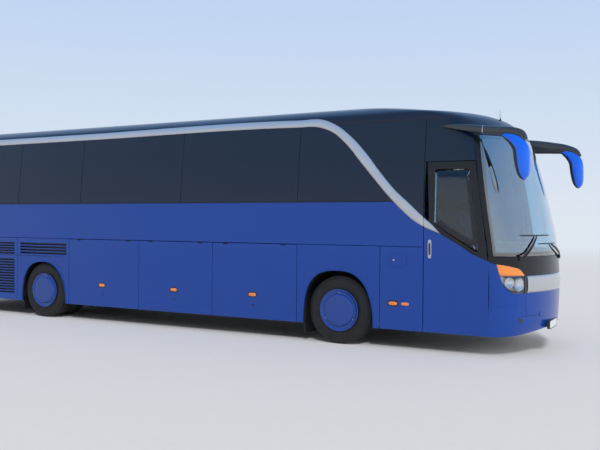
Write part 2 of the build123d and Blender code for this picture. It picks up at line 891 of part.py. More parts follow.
# Wheels and axles.
wheel_radius = 505
tyre_width = 295
tyre_outer_y = 1250
twin_gap = 45
rim_radius = 286
rim_wall = 16
disc_thick = 20
hub_radius = 95
spindle_radius = 40
running = 0.3
kingpin_y = 1040
kingpin_radius = 20
eye_radius = 46
eye_half = 60
lug_height = 35
cover_radius = 314
cover_proud = 22
dome_radius, dome_rise = 304, 10


def ring(x, y, z, length, radius, bore=0):
    """A round tube along Y centred at a point."""
    with BuildPart() as piece:
        with BuildSketch(Plane(origin=(x, y, z), z_dir=(0, 1, 0))):
            Circle(radius)
            if bore:
                Circle(bore, mode=Mode.SUBTRACT)
        extrude(amount=length / 2, both=True)
    return piece.part


def tyre(x, outer_y):
    """A tyre on the right-hand side whose outer face is at y = -outer_y, revolved about its axle."""
    near, far = outer_y - tyre_width, outer_y
    shoulder, bulge = 40, 14
    with BuildPart() as piece:
        with BuildSketch(Plane.YZ.offset(x)):
            with BuildLine():
                Polyline(
                    (-near - 30, wheel_radius + rim_radius),
                    (-near - bulge, wheel_radius + rim_radius + 30),
                    (-near, wheel_radius + 400),
                    (-near - bulge, wheel_radius * 2 - shoulder),
                    (-near - shoulder, wheel_radius * 2),
                    (-far + shoulder, wheel_radius * 2),
                    (-far + bulge, wheel_radius * 2 - shoulder),
                    (-far, wheel_radius + 400),
                    (-far + bulge, wheel_radius + rim_radius + 30),
                    (-far + 30, wheel_radius + rim_radius),
                    close=True,
                )
            make_face()
        revolve(axis=Axis((x, 0, wheel_radius), (0, 1, 0)))
    return piece.part


def rim(x, outer_y, disc_y, covered=True):
    """A rim on the right-hand side with its disc at y = -disc_y and, outside, a domed cover."""
    middle = outer_y - tyre_width / 2
    with BuildPart() as piece:
        add(ring(x, -middle, wheel_radius, tyre_width - 60, rim_radius, rim_radius - rim_wall))
        add(ring(x, -disc_y, wheel_radius, disc_thick, rim_radius - rim_wall / 2, spindle_radius + running))
        if covered:
            inner, plug = outer_y - 35, rim_radius - rim_wall / 2
            sphere = (dome_radius**2 + dome_rise**2) / (2 * dome_rise)
            half_angle = atan2(dome_radius, sphere - dome_rise) / 2
            with BuildSketch(Plane.YZ.offset(x)):
                with BuildLine():
                    Line((-inner, wheel_radius), (-inner, wheel_radius + plug))
                    Line((-inner, wheel_radius + plug), (-outer_y - 2, wheel_radius + plug))
                    Line((-outer_y - 2, wheel_radius + plug), (-outer_y - 2, wheel_radius + cover_radius))
                    Line(
                        (-outer_y - 2, wheel_radius + cover_radius),
                        (-outer_y - cover_proud + dome_rise, wheel_radius + dome_radius),
                    )
                    dome = -outer_y - cover_proud
                    ThreePointArc(
                        (dome + dome_rise, wheel_radius + dome_radius),
                        (
                            dome + sphere * (1 - cos(half_angle)),
                            wheel_radius + sphere * sin(half_angle),
                        ),
                        (dome, wheel_radius),
                    )
                    Line((dome, wheel_radius), (-inner, wheel_radius))
                make_face()
            revolve(axis=Axis((x, 0, wheel_radius), (0, 1, 0)))
    return piece.part


front_disc_y = tyre_outer_y - 75
inner_outer_y = tyre_outer_y - tyre_width - twin_gap
rear_disc_y = inner_outer_y + twin_gap / 2
front_tyre, front_rim = tyre(front_axle_x, tyre_outer_y), rim(front_axle_x, tyre_outer_y, front_disc_y)
write(front_tyre, "front_right_tyre")
write(mirrored(front_tyre), "front_left_tyre")
write(front_rim, "front_right_rim")
write(mirrored(front_rim), "front_left_rim")
with BuildPart() as rear_tyres:
    add([tyre(rear_axle_x, tyre_outer_y), tyre(rear_axle_x, inner_outer_y)])
with BuildPart() as rear_rims:
    add(rim(rear_axle_x, tyre_outer_y, rear_disc_y))
    add(rim(rear_axle_x, inner_outer_y, rear_disc_y, covered=False))
    add(
        ring(
            rear_axle_x,
            -rear_disc_y,
            wheel_radius,
            twin_gap + 75,
            rim_radius - 4,
            rim_radius - rim_wall + 4,
        )
    )
write(rear_tyres.part, "rear_right_tyres")
write(mirrored(rear_tyres.part), "rear_left_tyres")
write(rear_rims.part, "rear_right_rims")
write(mirrored(rear_rims.part), "rear_left_rims")

# Front axle beam with an eye for each kingpin, and the knuckles that carry the wheels.
beam_drop = 110
front_beam_half = 45
pad_y = beam_y
pad_radius, pad_top = 115, wheel_radius + 60
with BuildPart() as front_axle:
    drop_foot = wheel_radius - beam_drop - front_beam_half
    add(
        block(
            (front_axle_x - front_beam_half, front_axle_x + front_beam_half),
            (-kingpin_y + 260, kingpin_y - 260),
            (drop_foot, drop_foot + 2 * front_beam_half),
        )
    )
    for side in (-1, 1):
        with BuildSketch(Plane.YZ.offset(front_axle_x - front_beam_half)):
            with BuildLine():
                Polyline(
                    (side * (kingpin_y - 320), drop_foot),
                    (side * (kingpin_y - 230), drop_foot),
                    (side * (kingpin_y - 120), wheel_radius - 45),
                    (side * kingpin_y, wheel_radius - 45),
                    (side * kingpin_y, wheel_radius + 45),
                    (side * (kingpin_y - 160), wheel_radius + 45),
                    (side * (kingpin_y - 320), drop_foot + 2 * front_beam_half),
                    close=True,
                )
            make_face()
        extrude(amount=2 * front_beam_half)
        with BuildSketch(Plane.XY.offset(wheel_radius - eye_half)):
            with Locations((front_axle_x, side * kingpin_y)):
                Circle(eye_radius)
        extrude(amount=2 * eye_half)
        with BuildSketch(Plane.XY.offset(wheel_radius - eye_half)):
            with Locations((front_axle_x, side * kingpin_y)):
                Circle(kingpin_radius + running)
        extrude(amount=2 * eye_half, mode=Mode.SUBTRACT)
        add(
            block(
                (front_axle_x - pad_radius, front_axle_x + pad_radius),
                sorted((side * (pad_y - pad_radius), side * (pad_y + 60))),
                (drop_foot + 2 * front_beam_half - 1, pad_top),
            )
        )
write(front_axle.part, "front_axle")

with BuildPart() as knuckle:
    reach = eye_radius + 8
    plate_y = -kingpin_y - reach
    for low in (wheel_radius - eye_half - 5 - lug_height, wheel_radius + eye_half + 5):
        lug_x = (front_axle_x - 45, front_axle_x + 45)
        add(block(lug_x, (plate_y - 20, -kingpin_y), (low, low + lug_height)))
        with BuildSketch(Plane.XY.offset(low)):
            with Locations((front_axle_x, -kingpin_y)):
                Circle(45)
        extrude(amount=lug_height)
    with BuildSketch(Plane.XY.offset(wheel_radius - eye_half - 10)):
        with Locations((front_axle_x, -kingpin_y)):
            Circle(kingpin_radius)
    extrude(amount=2 * eye_half + 20)
    low = wheel_radius - eye_half - 5 - lug_height
    add(
        block(
            (front_axle_x - 60, front_axle_x + 60),
            (plate_y - 20, plate_y),
            (low, 2 * wheel_radius - low),
        )
    )
    spindle_end = front_disc_y + disc_thick / 2 + 20
    spindle_start = -plate_y
    add(
        ring(
            front_axle_x,
            -(spindle_start + spindle_end) / 2,
            wheel_radius,
            spindle_end - spindle_start,
            spindle_radius,
        )
    )
write(knuckle.part, "right_knuckle")
write(mirrored(knuckle.part), "left_knuckle")

axle_tube, diff_radius = 75, 200
with BuildPart() as rear_axle:
    add(ring(rear_axle_x, 0, wheel_radius, 2 * (rear_disc_y - 60), axle_tube))
    add(ring(rear_axle_x, 0, wheel_radius, 2 * (rear_disc_y + 40), spindle_radius))
    with BuildSketch(Plane(origin=(rear_axle_x, 0, wheel_radius), z_dir=(1, 0, 0))):
        Circle(diff_radius)
    extrude(amount=150, both=True)
    with BuildSketch(Plane(origin=(rear_axle_x, 0, wheel_radius), z_dir=(-1, 0, 0))):
        Circle(50)
    extrude(amount=rear_axle_x - engine_rear - engine_length)
    for side in (-1, 1):
        add(
            block(
                (rear_axle_x - pad_radius, rear_axle_x + pad_radius),
                sorted((side * (pad_y - pad_radius), side * (pad_y + 60))),
                (wheel_radius, pad_top + 25),
            )
        )
write(rear_axle.part, "rear_axle")

# Air springs between the axles' pads and the subframe beams.
bellows_radius = 100
with BuildPart() as air_springs:
    for axle, foot in ((front_axle_x, pad_top), (rear_axle_x, pad_top + 25)):
        for side in (-1, 1):
            with BuildSketch(Plane.XY.offset(foot)):
                with Locations((axle, side * (pad_y - 15))):
                    Circle(bellows_radius * 0.95)
            extrude(amount=beam_foot - foot)
write(air_springs.part, "air_springs")

# Mud flaps behind the wheels, hung from the housings.
mud_width, mud_thick, mud_foot, mud_top = 560, 12, 110, 470
with BuildPart() as mud_flaps:
    for axle in (front_axle_x, rear_axle_x):
        for side in (-1, 1):
            x = axle - arch_half - housing_wall - mud_thick
            middle = side * (inner_half - 20 - mud_width / 2)
            add(
                block(
                    (x, x + mud_thick),
                    (middle - mud_width / 2, middle + mud_width / 2),
                    (mud_foot, mud_top),
                )
            )
write(mud_flaps.part, "mud_flaps")

# Dashboard, steering wheel and seats.
dash_outline = [
    (front_bulkhead_x - 120, 1150),
    (body_front + 1, 1150),
    (body_front + 1, 1320),
    (front_bulkhead_x + 150, 1330),
    (front_bulkhead_x - 120, 1260),
]
dash_half = 1000
with BuildPart() as dashboard:
    add(side_prism(dash_outline, -dash_half, dash_half))
    add(lining, mode=Mode.INTERSECT)
write(dashboard.part, "dashboard")

driver_y = 640
wheel_centre = (front_bulkhead_x - 330, driver_y, 1380)
steering_radius, steering_tube = 225, 16
steering_tilt = radians(25)
steering_up = (-sin(steering_tilt), 0, cos(steering_tilt))
with BuildPart() as steering_wheel:
    wheel_plane = Plane(origin=wheel_centre, x_dir=(0, 1, 0), z_dir=steering_up)
    steering_ahead = (cos(steering_tilt), 0, sin(steering_tilt))
    with BuildSketch(Plane(origin=wheel_centre, x_dir=(0, 1, 0), z_dir=steering_ahead)):
        with Locations((steering_radius, 0)):
            Circle(steering_tube)
    revolve(axis=Axis(wheel_centre, steering_up))
    for turn in (0, 120, 240):
        direction = wheel_plane.rotated((0, 0, turn)).x_dir
        with BuildSketch(Plane(origin=wheel_centre, z_dir=direction)):
            Circle(12)
        extrude(amount=steering_radius)
    with BuildSketch(wheel_plane.offset(20)):
        Circle(35)
    extrude(amount=-190)
    with BuildSketch(Plane.XY.offset(cab_top)):
        with Locations((wheel_centre[0] + 60, driver_y)):
            Rectangle(90, 90)
    extrude(amount=wheel_centre[2] - cab_top - 120)
write(steering_wheel.part, "steering_wheel")

seat_pitch, seat_rows = 780, 11
bench_inner, bench_width = 250, 900
seat_profile = (
    (0, 0),
    (90, 0),
    (90, 380),
    (440, 380),
    (460, 480),
    (110, 470),
    (0, 1120),
    (-110, 1120),
    (0, 380),
)
first_seat_x = front_axle_x + 300


def seat(x, y, floor, width):
    """A seat with its pedestal and back, one prism across its width."""
    with BuildPart() as piece:
        with BuildSketch(Plane.XZ.offset(-y - width / 2)):
            with BuildLine():
                Polyline(*[(x + along, floor + up) for along, up in seat_profile], close=True)
            make_face()
        extrude(amount=width)
    return piece.part


with BuildPart() as seats:
    for row in range(seat_rows):
        for side in (-1, 1):
            x = first_seat_x - seat_pitch * row
            add(seat(x, side * (bench_inner + bench_width / 2), deck_top, bench_width))
    add(seat(front_bulkhead_x - 1000, driver_y, cab_top, 480))
write(seats.part, "seats")

# Mirrors on bent arms from the pillars, the right one shorter than the left one.
arm_radius = 26
head_size, head_height = (190, 240), 480
near_head = (front_axle_x + near_mirror_reach - head_size[0] / 2, -1330, 2620)
far_head = (front_axle_x + far_mirror_reach - head_size[0] / 2, 1330, 2620)
base_z = 3110
fairing_proud = 45
fairing = [
    (front_axle_x + 1560, 3165),
    (front_axle_x + 1560, 3115),
    (front_axle_x + 1900, 3060),
    (front_axle_x + 1900, 3150),
]
arm_base_x, arm_base_y = front_axle_x + 1740, 1222
arm_bend = (front_axle_x + 2150, 1290)
fairing_hull = hull(-fairing_proud)
fairing_part = skin(fairing_hull, outer, side_prism(fairing, 0, deep))
with BuildPart() as mirror_arms:
    for head, side in ((near_head, -1), (far_head, 1)):
        top_z = head[2] + head_height / 2 + 130
        with BuildLine() as route:
            FilletPolyline(
                (arm_base_x, side * arm_base_y, base_z),
                (arm_bend[0], side * arm_bend[1], base_z),
                (head[0] - 120, head[1], top_z),
                (head[0], head[1], head[2] + head_height / 2 - 60),
                radius=80,
            )
        with BuildSketch(Plane(origin=route.line @ 0, z_dir=route.line % 0)):
            Circle(arm_radius)
        sweep(path=route.line)
    add([fairing_part, mirrored(fairing_part)])
    add(outer, mode=Mode.SUBTRACT)
write(mirror_arms.part, "mirror_arms")

with BuildPart() as mirror_covers:
    for head in (near_head, far_head):
        with BuildSketch(Plane.XY.offset(head[2] - head_height / 2)):
            with Locations((head[0], head[1])):
                RectangleRounded(*head_size, 60)
        extrude(amount=head_height)
    add(mirror_arms.part, mode=Mode.SUBTRACT)
write(mirror_covers.part, "mirror_covers")

# Wipers parked on the windscreen. Each row: where the pivot and the arm's end stand, across and up, and the
# ends of the blade across.
wiper_rows = (
    ((-1060, 1335), (-700, 1645), (-1000, -350)),
    ((210, 1335), (-300, 1530), (-650, -150)),
)
pivot_radius, pivot_depth, pivot_proud = 22, 60, 40
wiper_radius, wiper_lift = 10, 30
blade_half, blade_low, blade_high = 9, 8, 45
blade_back, blade_face = hull(-blade_low), hull(-blade_high)
with BuildPart() as wipers:
    for (pivot_y, pivot_z), (end_y, end_z), blade_span in wiper_rows:
        pivot_x = front_x(pivot_z, pivot_y)
        with BuildSketch(Plane(origin=(pivot_x - pivot_depth, pivot_y, pivot_z), z_dir=(1, 0, 0))):
            Circle(pivot_radius)
        extrude(amount=pivot_depth + pivot_proud)
        reach = (front_x(end_z, end_y) - pivot_x, end_y - pivot_y, end_z - pivot_z)
        with BuildSketch(Plane(origin=(pivot_x + wiper_lift, pivot_y, pivot_z), z_dir=reach)):
            Circle(wiper_radius)
        extrude(amount=hypot(*reach))
        blade_height = (end_z - blade_half, end_z + blade_half)
        blade = block((front_axle_x, body_front + deep), blade_span, blade_height)
        add(skin(blade_face, blade_back, blade))
    add(outer, mode=Mode.SUBTRACT)
write(wipers.part, "wipers")
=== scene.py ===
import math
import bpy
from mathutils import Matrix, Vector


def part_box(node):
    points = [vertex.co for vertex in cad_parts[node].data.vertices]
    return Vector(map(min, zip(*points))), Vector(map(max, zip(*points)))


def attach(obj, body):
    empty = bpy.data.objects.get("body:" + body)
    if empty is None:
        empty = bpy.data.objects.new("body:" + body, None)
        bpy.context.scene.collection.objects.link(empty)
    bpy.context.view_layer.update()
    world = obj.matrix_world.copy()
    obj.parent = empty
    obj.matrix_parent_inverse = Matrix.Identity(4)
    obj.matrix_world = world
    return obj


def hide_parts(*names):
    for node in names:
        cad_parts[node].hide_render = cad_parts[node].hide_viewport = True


bl_info = {
    "name": "Touring coach",
    "version": (1, 0, 0),
    "blender": (4, 5, 0),
    "location": "3D View > Sidebar > Coach",
    "description": "Dresses the frame of a touring coach with its skins, glass, lamps, wheels and seats",
    "category": "Object",
}

import bmesh
import bpy
import numpy as np
from mathutils import Matrix, Vector

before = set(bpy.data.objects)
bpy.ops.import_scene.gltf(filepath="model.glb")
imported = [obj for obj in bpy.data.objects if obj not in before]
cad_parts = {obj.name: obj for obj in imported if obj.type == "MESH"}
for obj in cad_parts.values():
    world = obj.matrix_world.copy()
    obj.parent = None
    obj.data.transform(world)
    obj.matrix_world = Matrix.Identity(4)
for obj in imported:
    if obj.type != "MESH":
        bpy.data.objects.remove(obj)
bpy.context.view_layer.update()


def middle(node):
    """The middle of a CAD node's box."""
    low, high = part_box(node)
    return (low + high) / 2


# Places read from the frame. Lengths along the body are given from the front axle.
FRONT = middle("front_right_tyre").x
REAR = middle("rear_right_tyres").x
AXLE_Z = middle("front_right_tyre").z
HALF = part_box("right_lower_wall")[0].y * -1
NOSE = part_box("front_bumper")[1].x
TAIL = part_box("engine_lid")[0].x
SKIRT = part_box("front_bumper")[0].z
TYRE_RADIUS = AXLE_Z
SIDES = (("right", -1), ("left", 1))

# Lines of the body, as in the frame.
REAR_SEAM = FRONT - 8.970
SILL = 2.110
ROOF_LINE = 3.265
FLAP_LINE = 1.470
LAMP_LINE = 1.104
SCREEN_FOOT = 1.365
SCREEN_TOP = 3.020
DOOR_TOP = 2.665
DOOR_REAR = FRONT + 1.309
DOOR_FRONT = FRONT + 2.233
PILLAR_BEND = 1.290
PILLAR_LEAN = (2.233 - 2.030) / (DOOR_TOP - PILLAR_BEND)
DRIVER_SILL = 1.500
GAP = 0.003
WINDOW_SEAMS = [FRONT + x for x in (-8.960, -6.763, -5.167, -2.920, -0.700)] + [DOOR_REAR]
BAYS = [(FRONT + a, FRONT + b) for a, b in ((-5.441, -3.803), (-3.803, -2.271), (-2.271, -0.705))]

# Level outlines of the shell: height, then how far the side, the front and the tail stand in, the depth of
# the rounded front, the front corner radius and the rear corner radius.
OUTLINES = np.array(
    (
        (0.283, 0, 0.070, 0.050, 0.660, 0.420, 0.220),
        (0.420, 0, 0.020, 0.005, 0.660, 0.420, 0.220),
        (0.900, 0, 0, 0, 0.660, 0.420, 0.220),
        (1.365, 0, 0.020, 0, 0.660, 0.420, 0.220),
        (2.110, 0, 0.165, 0.025, 0.660, 0.420, 0.220),
        (2.600, 0.032, 0.290, 0.060, 0.660, 0.420, 0.220),
        (3.020, 0.078, 0.440, 0.110, 0.660, 0.420, 0.230),
        (3.265, 0.105, 0.670, 0.160, 0.660, 0.420, 0.240),
        (3.375, 0.130, 0.900, 0.210, 0.700, 0.430, 0.260),
        (3.480, 0.290, 1.520, 0.380, 0.800, 0.480, 0.300),
        (3.560, 0.590, 2.150, 0.800, 0.640, 0.400, 0.250),
        (3.600, 0.950, 2.900, 1.500, 0.320, 0.200, 0.150),
    )
)


def hermite(values, slopes, span, width, t):
    """Cubic Hermite curves between neighbouring values, at shares t of spans of a width."""
    return (
        values[span] * (1 + 2 * t) * (1 - t) ** 2
        + values[span + 1] * t**2 * (3 - 2 * t)
        + slopes[span] * width * t * (1 - t) ** 2
        - slopes[span + 1] * width * t**2 * (1 - t)
    )


def stacked(*coordinates):
    """Coordinates of matching shapes as points along a last axis."""
    return np.stack(np.broadcast_arrays(*coordinates), axis=-1)


def smooth_columns(z):
    """Every column of OUTLINES at heights z, by monotone cubic steps: cubic Hermite spans whose slopes are
    the harmonic mean of the two neighbouring chords, or level where the chords turn back."""
    heights, values = OUTLINES[:, 0], OUTLINES[:, 1:]
    chord = np.diff(values, axis=0) / np.diff(heights)[:, None]
    product = chord[:-1] * chord[1:]
    inner = np.where(product > 0, 2 * product / np.where(product > 0, chord[:-1] + chord[1:], 1), 0)
    slope = np.vstack([chord[:1], inner, chord[-1:]])
    z = np.clip(np.asarray(z, float), heights[0], heights[-1])
    span = np.clip(np.searchsorted(heights, z, side="right") - 1, 0, len(heights) - 2)
    width = (heights[span + 1] - heights[span])[..., None]
    return hermite(values, slope, span, width, (z - heights[span])[..., None] / width)


class Section:
    """The level outline of the shell at heights z: straight sides, corner arcs and one bow arc in front."""

    def __init__(self, z):
        side_in, front_in, rear_in, depth, corner, rear_corner = np.moveaxis(smooth_columns(z), -1, 0)
        self.half = HALF - side_in
        self.corner, self.rear_corner = corner, rear_corner
        self.shoulder = NOSE - front_in - depth
        self.tail = TAIL + rear_in
        self.across = self.half - corner
        self.bow = (depth**2 + self.across**2 - corner**2) / (2 * (depth - corner))
        self.bow_x = NOSE - front_in - self.bow
        self.turn = np.arctan2(self.across, self.shoulder - self.bow_x)

    def side_y(self, x):
        """Half-width at length x: the straight side, the corner circles or the bow circle."""
        joint = self.bow_x + self.bow * np.cos(self.turn)
        y = self.half + 0 * x
        in_corner = self.across + np.sqrt(np.maximum(self.corner**2 - (x - self.shoulder) ** 2, 0))
        y = np.where(x > self.shoulder, in_corner, y)
        y = np.where(x > joint, np.sqrt(np.maximum(self.bow**2 - (x - self.bow_x) ** 2, 0)), y)
        start = self.tail + self.rear_corner
        behind = self.half - self.rear_corner
        in_rear = behind + np.sqrt(np.maximum(self.rear_corner**2 - (start - x) ** 2, 0))
        return np.where(x < start, in_rear, y)

    def reach(self, x):
        """Arc length along the outline from the front centre to where it passes length x."""
        bow_length = self.bow * self.turn
        angle = np.arccos(np.clip((x - self.shoulder) / self.corner, 0, 1))
        corner_length = self.corner * (math.pi / 2 - self.turn)
        in_corner = bow_length + self.corner * (angle - self.turn)
        return np.where(x > self.shoulder, in_corner, bow_length + corner_length + self.shoulder - x)

    def front_point(self, s):
        """The point at arc length s from the front centre; s above 0 lies on the right-hand side."""
        away = np.abs(s)
        bow_length = self.bow * self.turn
        corner_length = self.corner * (math.pi / 2 - self.turn)
        in_bow = np.minimum(away, bow_length) / self.bow
        in_corner = self.turn + np.clip(away - bow_length, 0, corner_length) / self.corner
        beyond = np.maximum(away - bow_length - corner_length, 0)
        x = np.where(away <= bow_length, self.bow_x + self.bow * np.cos(in_bow),
                     self.shoulder + self.corner * np.cos(in_corner) - beyond)
        y = np.where(away <= bow_length, self.bow * np.sin(in_bow),
                     self.across + self.corner * np.sin(in_corner))
        return x, -np.sign(s) * y

    def rear_point(self, s):
        """The point at arc length s from the rear centre; s above 0 lies on the right-hand side."""
        away = np.abs(s)
        flat = self.half - self.rear_corner
        angle = np.clip(away - flat, 0, self.rear_corner * math.pi / 2) / self.rear_corner
        beyond = np.maximum(away - flat - self.rear_corner * math.pi / 2, 0)
        x = self.tail + self.rear_corner * (1 - np.cos(angle)) + beyond
        y = np.minimum(away, flat) + self.rear_corner * np.sin(angle)
        return x, -np.sign(s) * y

    def rear_reach(self, x):
        """Arc length from the rear centre to where the side passes length x, past the corner."""
        flat = self.half - self.rear_corner
        return flat + self.rear_corner * math.pi / 2 + x - self.tail - self.rear_corner


def pillar_x(z):
    """The door's front edge: upright to the bend, then leaning back."""
    return DOOR_FRONT - PILLAR_LEAN * np.maximum(np.asarray(z, float) - PILLAR_BEND, 0)


def on_side(x, z, side, out=0.0):
    """Points of the shell's side at length x and height z, as rows and columns of a grid."""
    x, z = np.broadcast_arrays(np.asarray(x, float), np.asarray(z, float))
    y = Section(z).side_y(x) + out
    return stacked(x, side * y, z)


def on_front(s, z):
    """Points of the shell's front at arc length s and height z."""
    s, z = np.broadcast_arrays(np.asarray(s, float), np.asarray(z, float))
    x, y = Section(z).front_point(s)
    return stacked(x, y, z)


def on_rear(s, z):
    """Points of the shell's tail at arc length s and height z."""
    s, z = np.broadcast_arrays(np.asarray(s, float), np.asarray(z, float))
    x, y = Section(z).rear_point(s)
    return stacked(x, y, z)


# Shapes are pairs of arrays, points and four-cornered faces.
def face_normals(points, quads):
    """The faces' normals, twice as long as their areas, and the faces' middles."""
    corner = points[quads]
    return np.cross(corner[:, 2] - corner[:, 0], corner[:, 3] - corner[:, 1]), corner.mean(axis=1)


def sheet(points, facing=None, round_rows=False, round_columns=False, keep=None):
    """A grid of points joined by faces; facing turns them to that side, keep drops cells that are False."""
    rows, columns = points.shape[:2]
    index = np.arange(rows * columns).reshape(rows, columns)
    if round_rows:
        index = np.vstack([index, index[:1]])
    if round_columns:
        index = np.hstack([index, index[:, :1]])
    quads = stacked(index[:-1, :-1], index[:-1, 1:], index[1:, 1:], index[1:, :-1])
    quads = quads[keep] if keep is not None else quads.reshape(-1, 4)
    flat = points.reshape(-1, 3)
    if facing is not None:
        normals, _ = face_normals(flat, quads)
        if (normals @ np.asarray(facing, float)).sum() < 0:
            quads = quads[:, ::-1]
    return flat, quads


def joined(*shapes):
    """Several shapes as one."""
    starts = np.cumsum([0] + [len(points) for points, _ in shapes[:-1]])
    return (
        np.vstack([points for points, _ in shapes]),
        np.vstack([quads + start for (_, quads), start in zip(shapes, starts)]),
    )


def lines(*marks, step=0.1):
    """Grid lines that pass through every mark, with even lines between them at most a step apart."""
    spans = []
    for low, high in zip(marks, marks[1:]):
        count = max(int(math.ceil(abs(high - low) / step)), 1)
        spans.append(np.linspace(low, high, count, endpoint=False))
    return np.concatenate(spans + [[marks[-1]]])


def plate(place, across, up, holes=(), facing=None):
    """A sheet on place(a, b) over lines across and up, without the cells whose middles lie in a hole; a hole
    is its low and high end across, then its foot and top."""
    a, b = np.meshgrid(across, up)
    keep = np.ones((len(up) - 1, len(across) - 1), bool)
    middle_a = (across[:-1] + across[1:]) / 2
    middle_b = (up[:-1] + up[1:]) / 2
    for low, high, foot, top in holes:
        inside_a = (middle_a > low) & (middle_a < high)
        inside_b = (middle_b > foot) & (middle_b < top)
        keep &= ~(inside_b[:, None] & inside_a[None, :])
    return sheet(place(a, b), facing, keep=keep)


def ring_points(count):
    """Evenly spaced angles of a full turn."""
    return np.arange(count) * 2 * math.pi / count


def lathe(profile, axle_x, axle_z, count=96):
    """A profile of radius and Y turned about an axle along Y."""
    profile = np.asarray(profile, float)
    angle = ring_points(count)
    radius, y = profile[:, 0][:, None], profile[:, 1][:, None]
    points = stacked(axle_x + radius * np.cos(angle), y, axle_z + radius * np.sin(angle))
    return sheet(points, round_columns=True)


def swept(path, section, up=(0, 0, 1), closed=False):
    """A section carried along a path: each ring stands square to the path, its second axis near up."""
    path = np.asarray(path, float)
    section = np.asarray(section, float)
    if section.ndim == 2:
        section = np.broadcast_to(section, (len(path), *section.shape))
    if closed:
        ahead, behind = np.roll(path, -1, axis=0), np.roll(path, 1, axis=0)
        along = ahead - behind
    else:
        along = np.gradient(path, axis=0)
    along = along / np.linalg.norm(along, axis=1)[:, None]
    sideways = np.cross(along, np.asarray(up, float))
    sideways /= np.linalg.norm(sideways, axis=1)[:, None]
    upward = np.cross(sideways, along)
    rings = (
        path[:, None, :]
        + section[:, :, 0:1] * sideways[:, None, :]
        + section[:, :, 1:2] * upward[:, None, :]
    )
    if not closed:
        first = rings[:1].mean(axis=1, keepdims=True) + 0 * rings[:1]
        last = rings[-1:].mean(axis=1, keepdims=True) + 0 * rings[-1:]
        rings = np.concatenate([first, rings, last])
    return sheet(rings, round_rows=closed, round_columns=True)


def oval(width, height, count=16, power=2.0):
    """A superellipse: |x/a|^p + |y/b|^p = 1."""
    angle = ring_points(count)
    c, s = np.cos(angle), np.sin(angle)
    return np.stack(
        [
            width / 2 * np.sign(c) * np.abs(c) ** (2 / power),
            height / 2 * np.sign(s) * np.abs(s) ** (2 / power),
        ],
        axis=-1,
    )


def ovals(place, rings, count, power):
    """A stack of ovals for sheet: each ring has its width, height and distance out, and place sets it."""
    stack = []
    for width, height, out in rings:
        across, up = oval(width, height, count, power).T
        stack.append(stacked(*place(across, up, out)))
    return np.stack(stack)


def pillow(centre, size, power=4.0, rows=14, columns=24):
    """A closed superellipsoid: |x/a|^p + |y/b|^p + |z/c|^p = 1 with poles on its third axis."""
    latitude = np.linspace(-math.pi / 2, math.pi / 2, rows)[:, None]
    longitude = ring_points(columns)[None, :]

    def bent(value):
        return np.sign(value) * np.abs(value) ** (2 / power)

    x = bent(np.cos(latitude)) * bent(np.cos(longitude))
    y = bent(np.cos(latitude)) * bent(np.sin(longitude))
    z = bent(np.sin(latitude)) + 0 * longitude
    points = stacked(x, y, z) * np.asarray(size, float) / 2 + np.asarray(centre, float)
    return sheet(points, round_columns=True)


def moved(shape, matrix=None, by=(0, 0, 0)):
    """A shape turned by a matrix and then moved."""
    points, quads = shape
    points = points @ np.asarray(matrix, float).T if matrix is not None else points
    return points + np.asarray(by, float), quads


def mirrored(shape):
    """A shape on the coach's other side, its faces turned to stay outward."""
    points, quads = shape
    return points * np.array([1, -1, 1]), quads[:, ::-1]


def both_sides(shape):
    """A shape and its mirror image."""
    return joined(shape, mirrored(shape))


def outward(shape, centre=None):
    """The shape with its faces turned so that, taken together, they look away from a centre or, where none
    is given, from the middle of its points."""
    points, quads = shape
    centre = points.mean(axis=0) if centre is None else np.asarray(centre, float)
    normals, middles = face_normals(points, quads)
    volume = (normals * (middles - centre)).sum()
    return points, quads if volume > 0 else quads[:, ::-1]


def inward(shape, x):
    """A turned wall with its faces looking at the axle."""
    points, quads = shape
    normals, middles = face_normals(points, quads)
    away = ((middles - [x, 0, AXLE_Z]) * normals * [1, 0, 1]).sum()
    return points, quads[:, ::-1] if away > 0 else quads


# Materials.
def new_material(name):
    """A material with its nodes, its links and its shader."""
    material = bpy.data.materials.new(name)
    material.use_nodes = True
    nodes = material.node_tree.nodes
    shader = nodes["Principled BSDF"]
    return material, nodes, material.node_tree.links, shader


def object_noise(nodes, links, scale, detail=4.0, roughness=0.5):
    """Noise on Object coordinates."""
    place = nodes.new("ShaderNodeTexCoord")
    noise = nodes.new("ShaderNodeTexNoise")
    noise.inputs["Scale"].default_value = scale
    noise.inputs["Detail"].default_value = detail
    noise.inputs["Roughness"].default_value = roughness
    links.new(place.outputs["Object"], noise.inputs["Vector"])
    return noise


def ramp(nodes, links, source, low, high, start=0.3, end=0.7):
    """A source's value turned into a colour between low and high."""
    bridge = nodes.new("ShaderNodeValToRGB")
    bridge.color_ramp.elements[0].position, bridge.color_ramp.elements[1].position = start, end
    bridge.color_ramp.elements[0].color = (*low, 1)
    bridge.color_ramp.elements[1].color = (*high, 1)
    links.new(source, bridge.inputs["Fac"])
    return bridge.outputs["Color"]


def uneven_colour(nodes, links, shader, source, colour, spread):
    """Lets a colour vary with a source's value, by a share of itself each way."""
    low = [c * (1 - spread) for c in colour]
    high = [min(c * (1 + spread), 1) for c in colour]
    links.new(ramp(nodes, links, source, low, high), shader.inputs["Base Color"])


def bumpy(nodes, links, shader, source, strength, distance):
    """Lets a source's value stand out as a fine relief."""
    bump = nodes.new("ShaderNodeBump")
    bump.inputs["Strength"].default_value = strength
    bump.inputs["Distance"].default_value = distance
    links.new(source, bump.inputs["Height"])
    links.new(bump.outputs["Normal"], shader.inputs["Normal"])


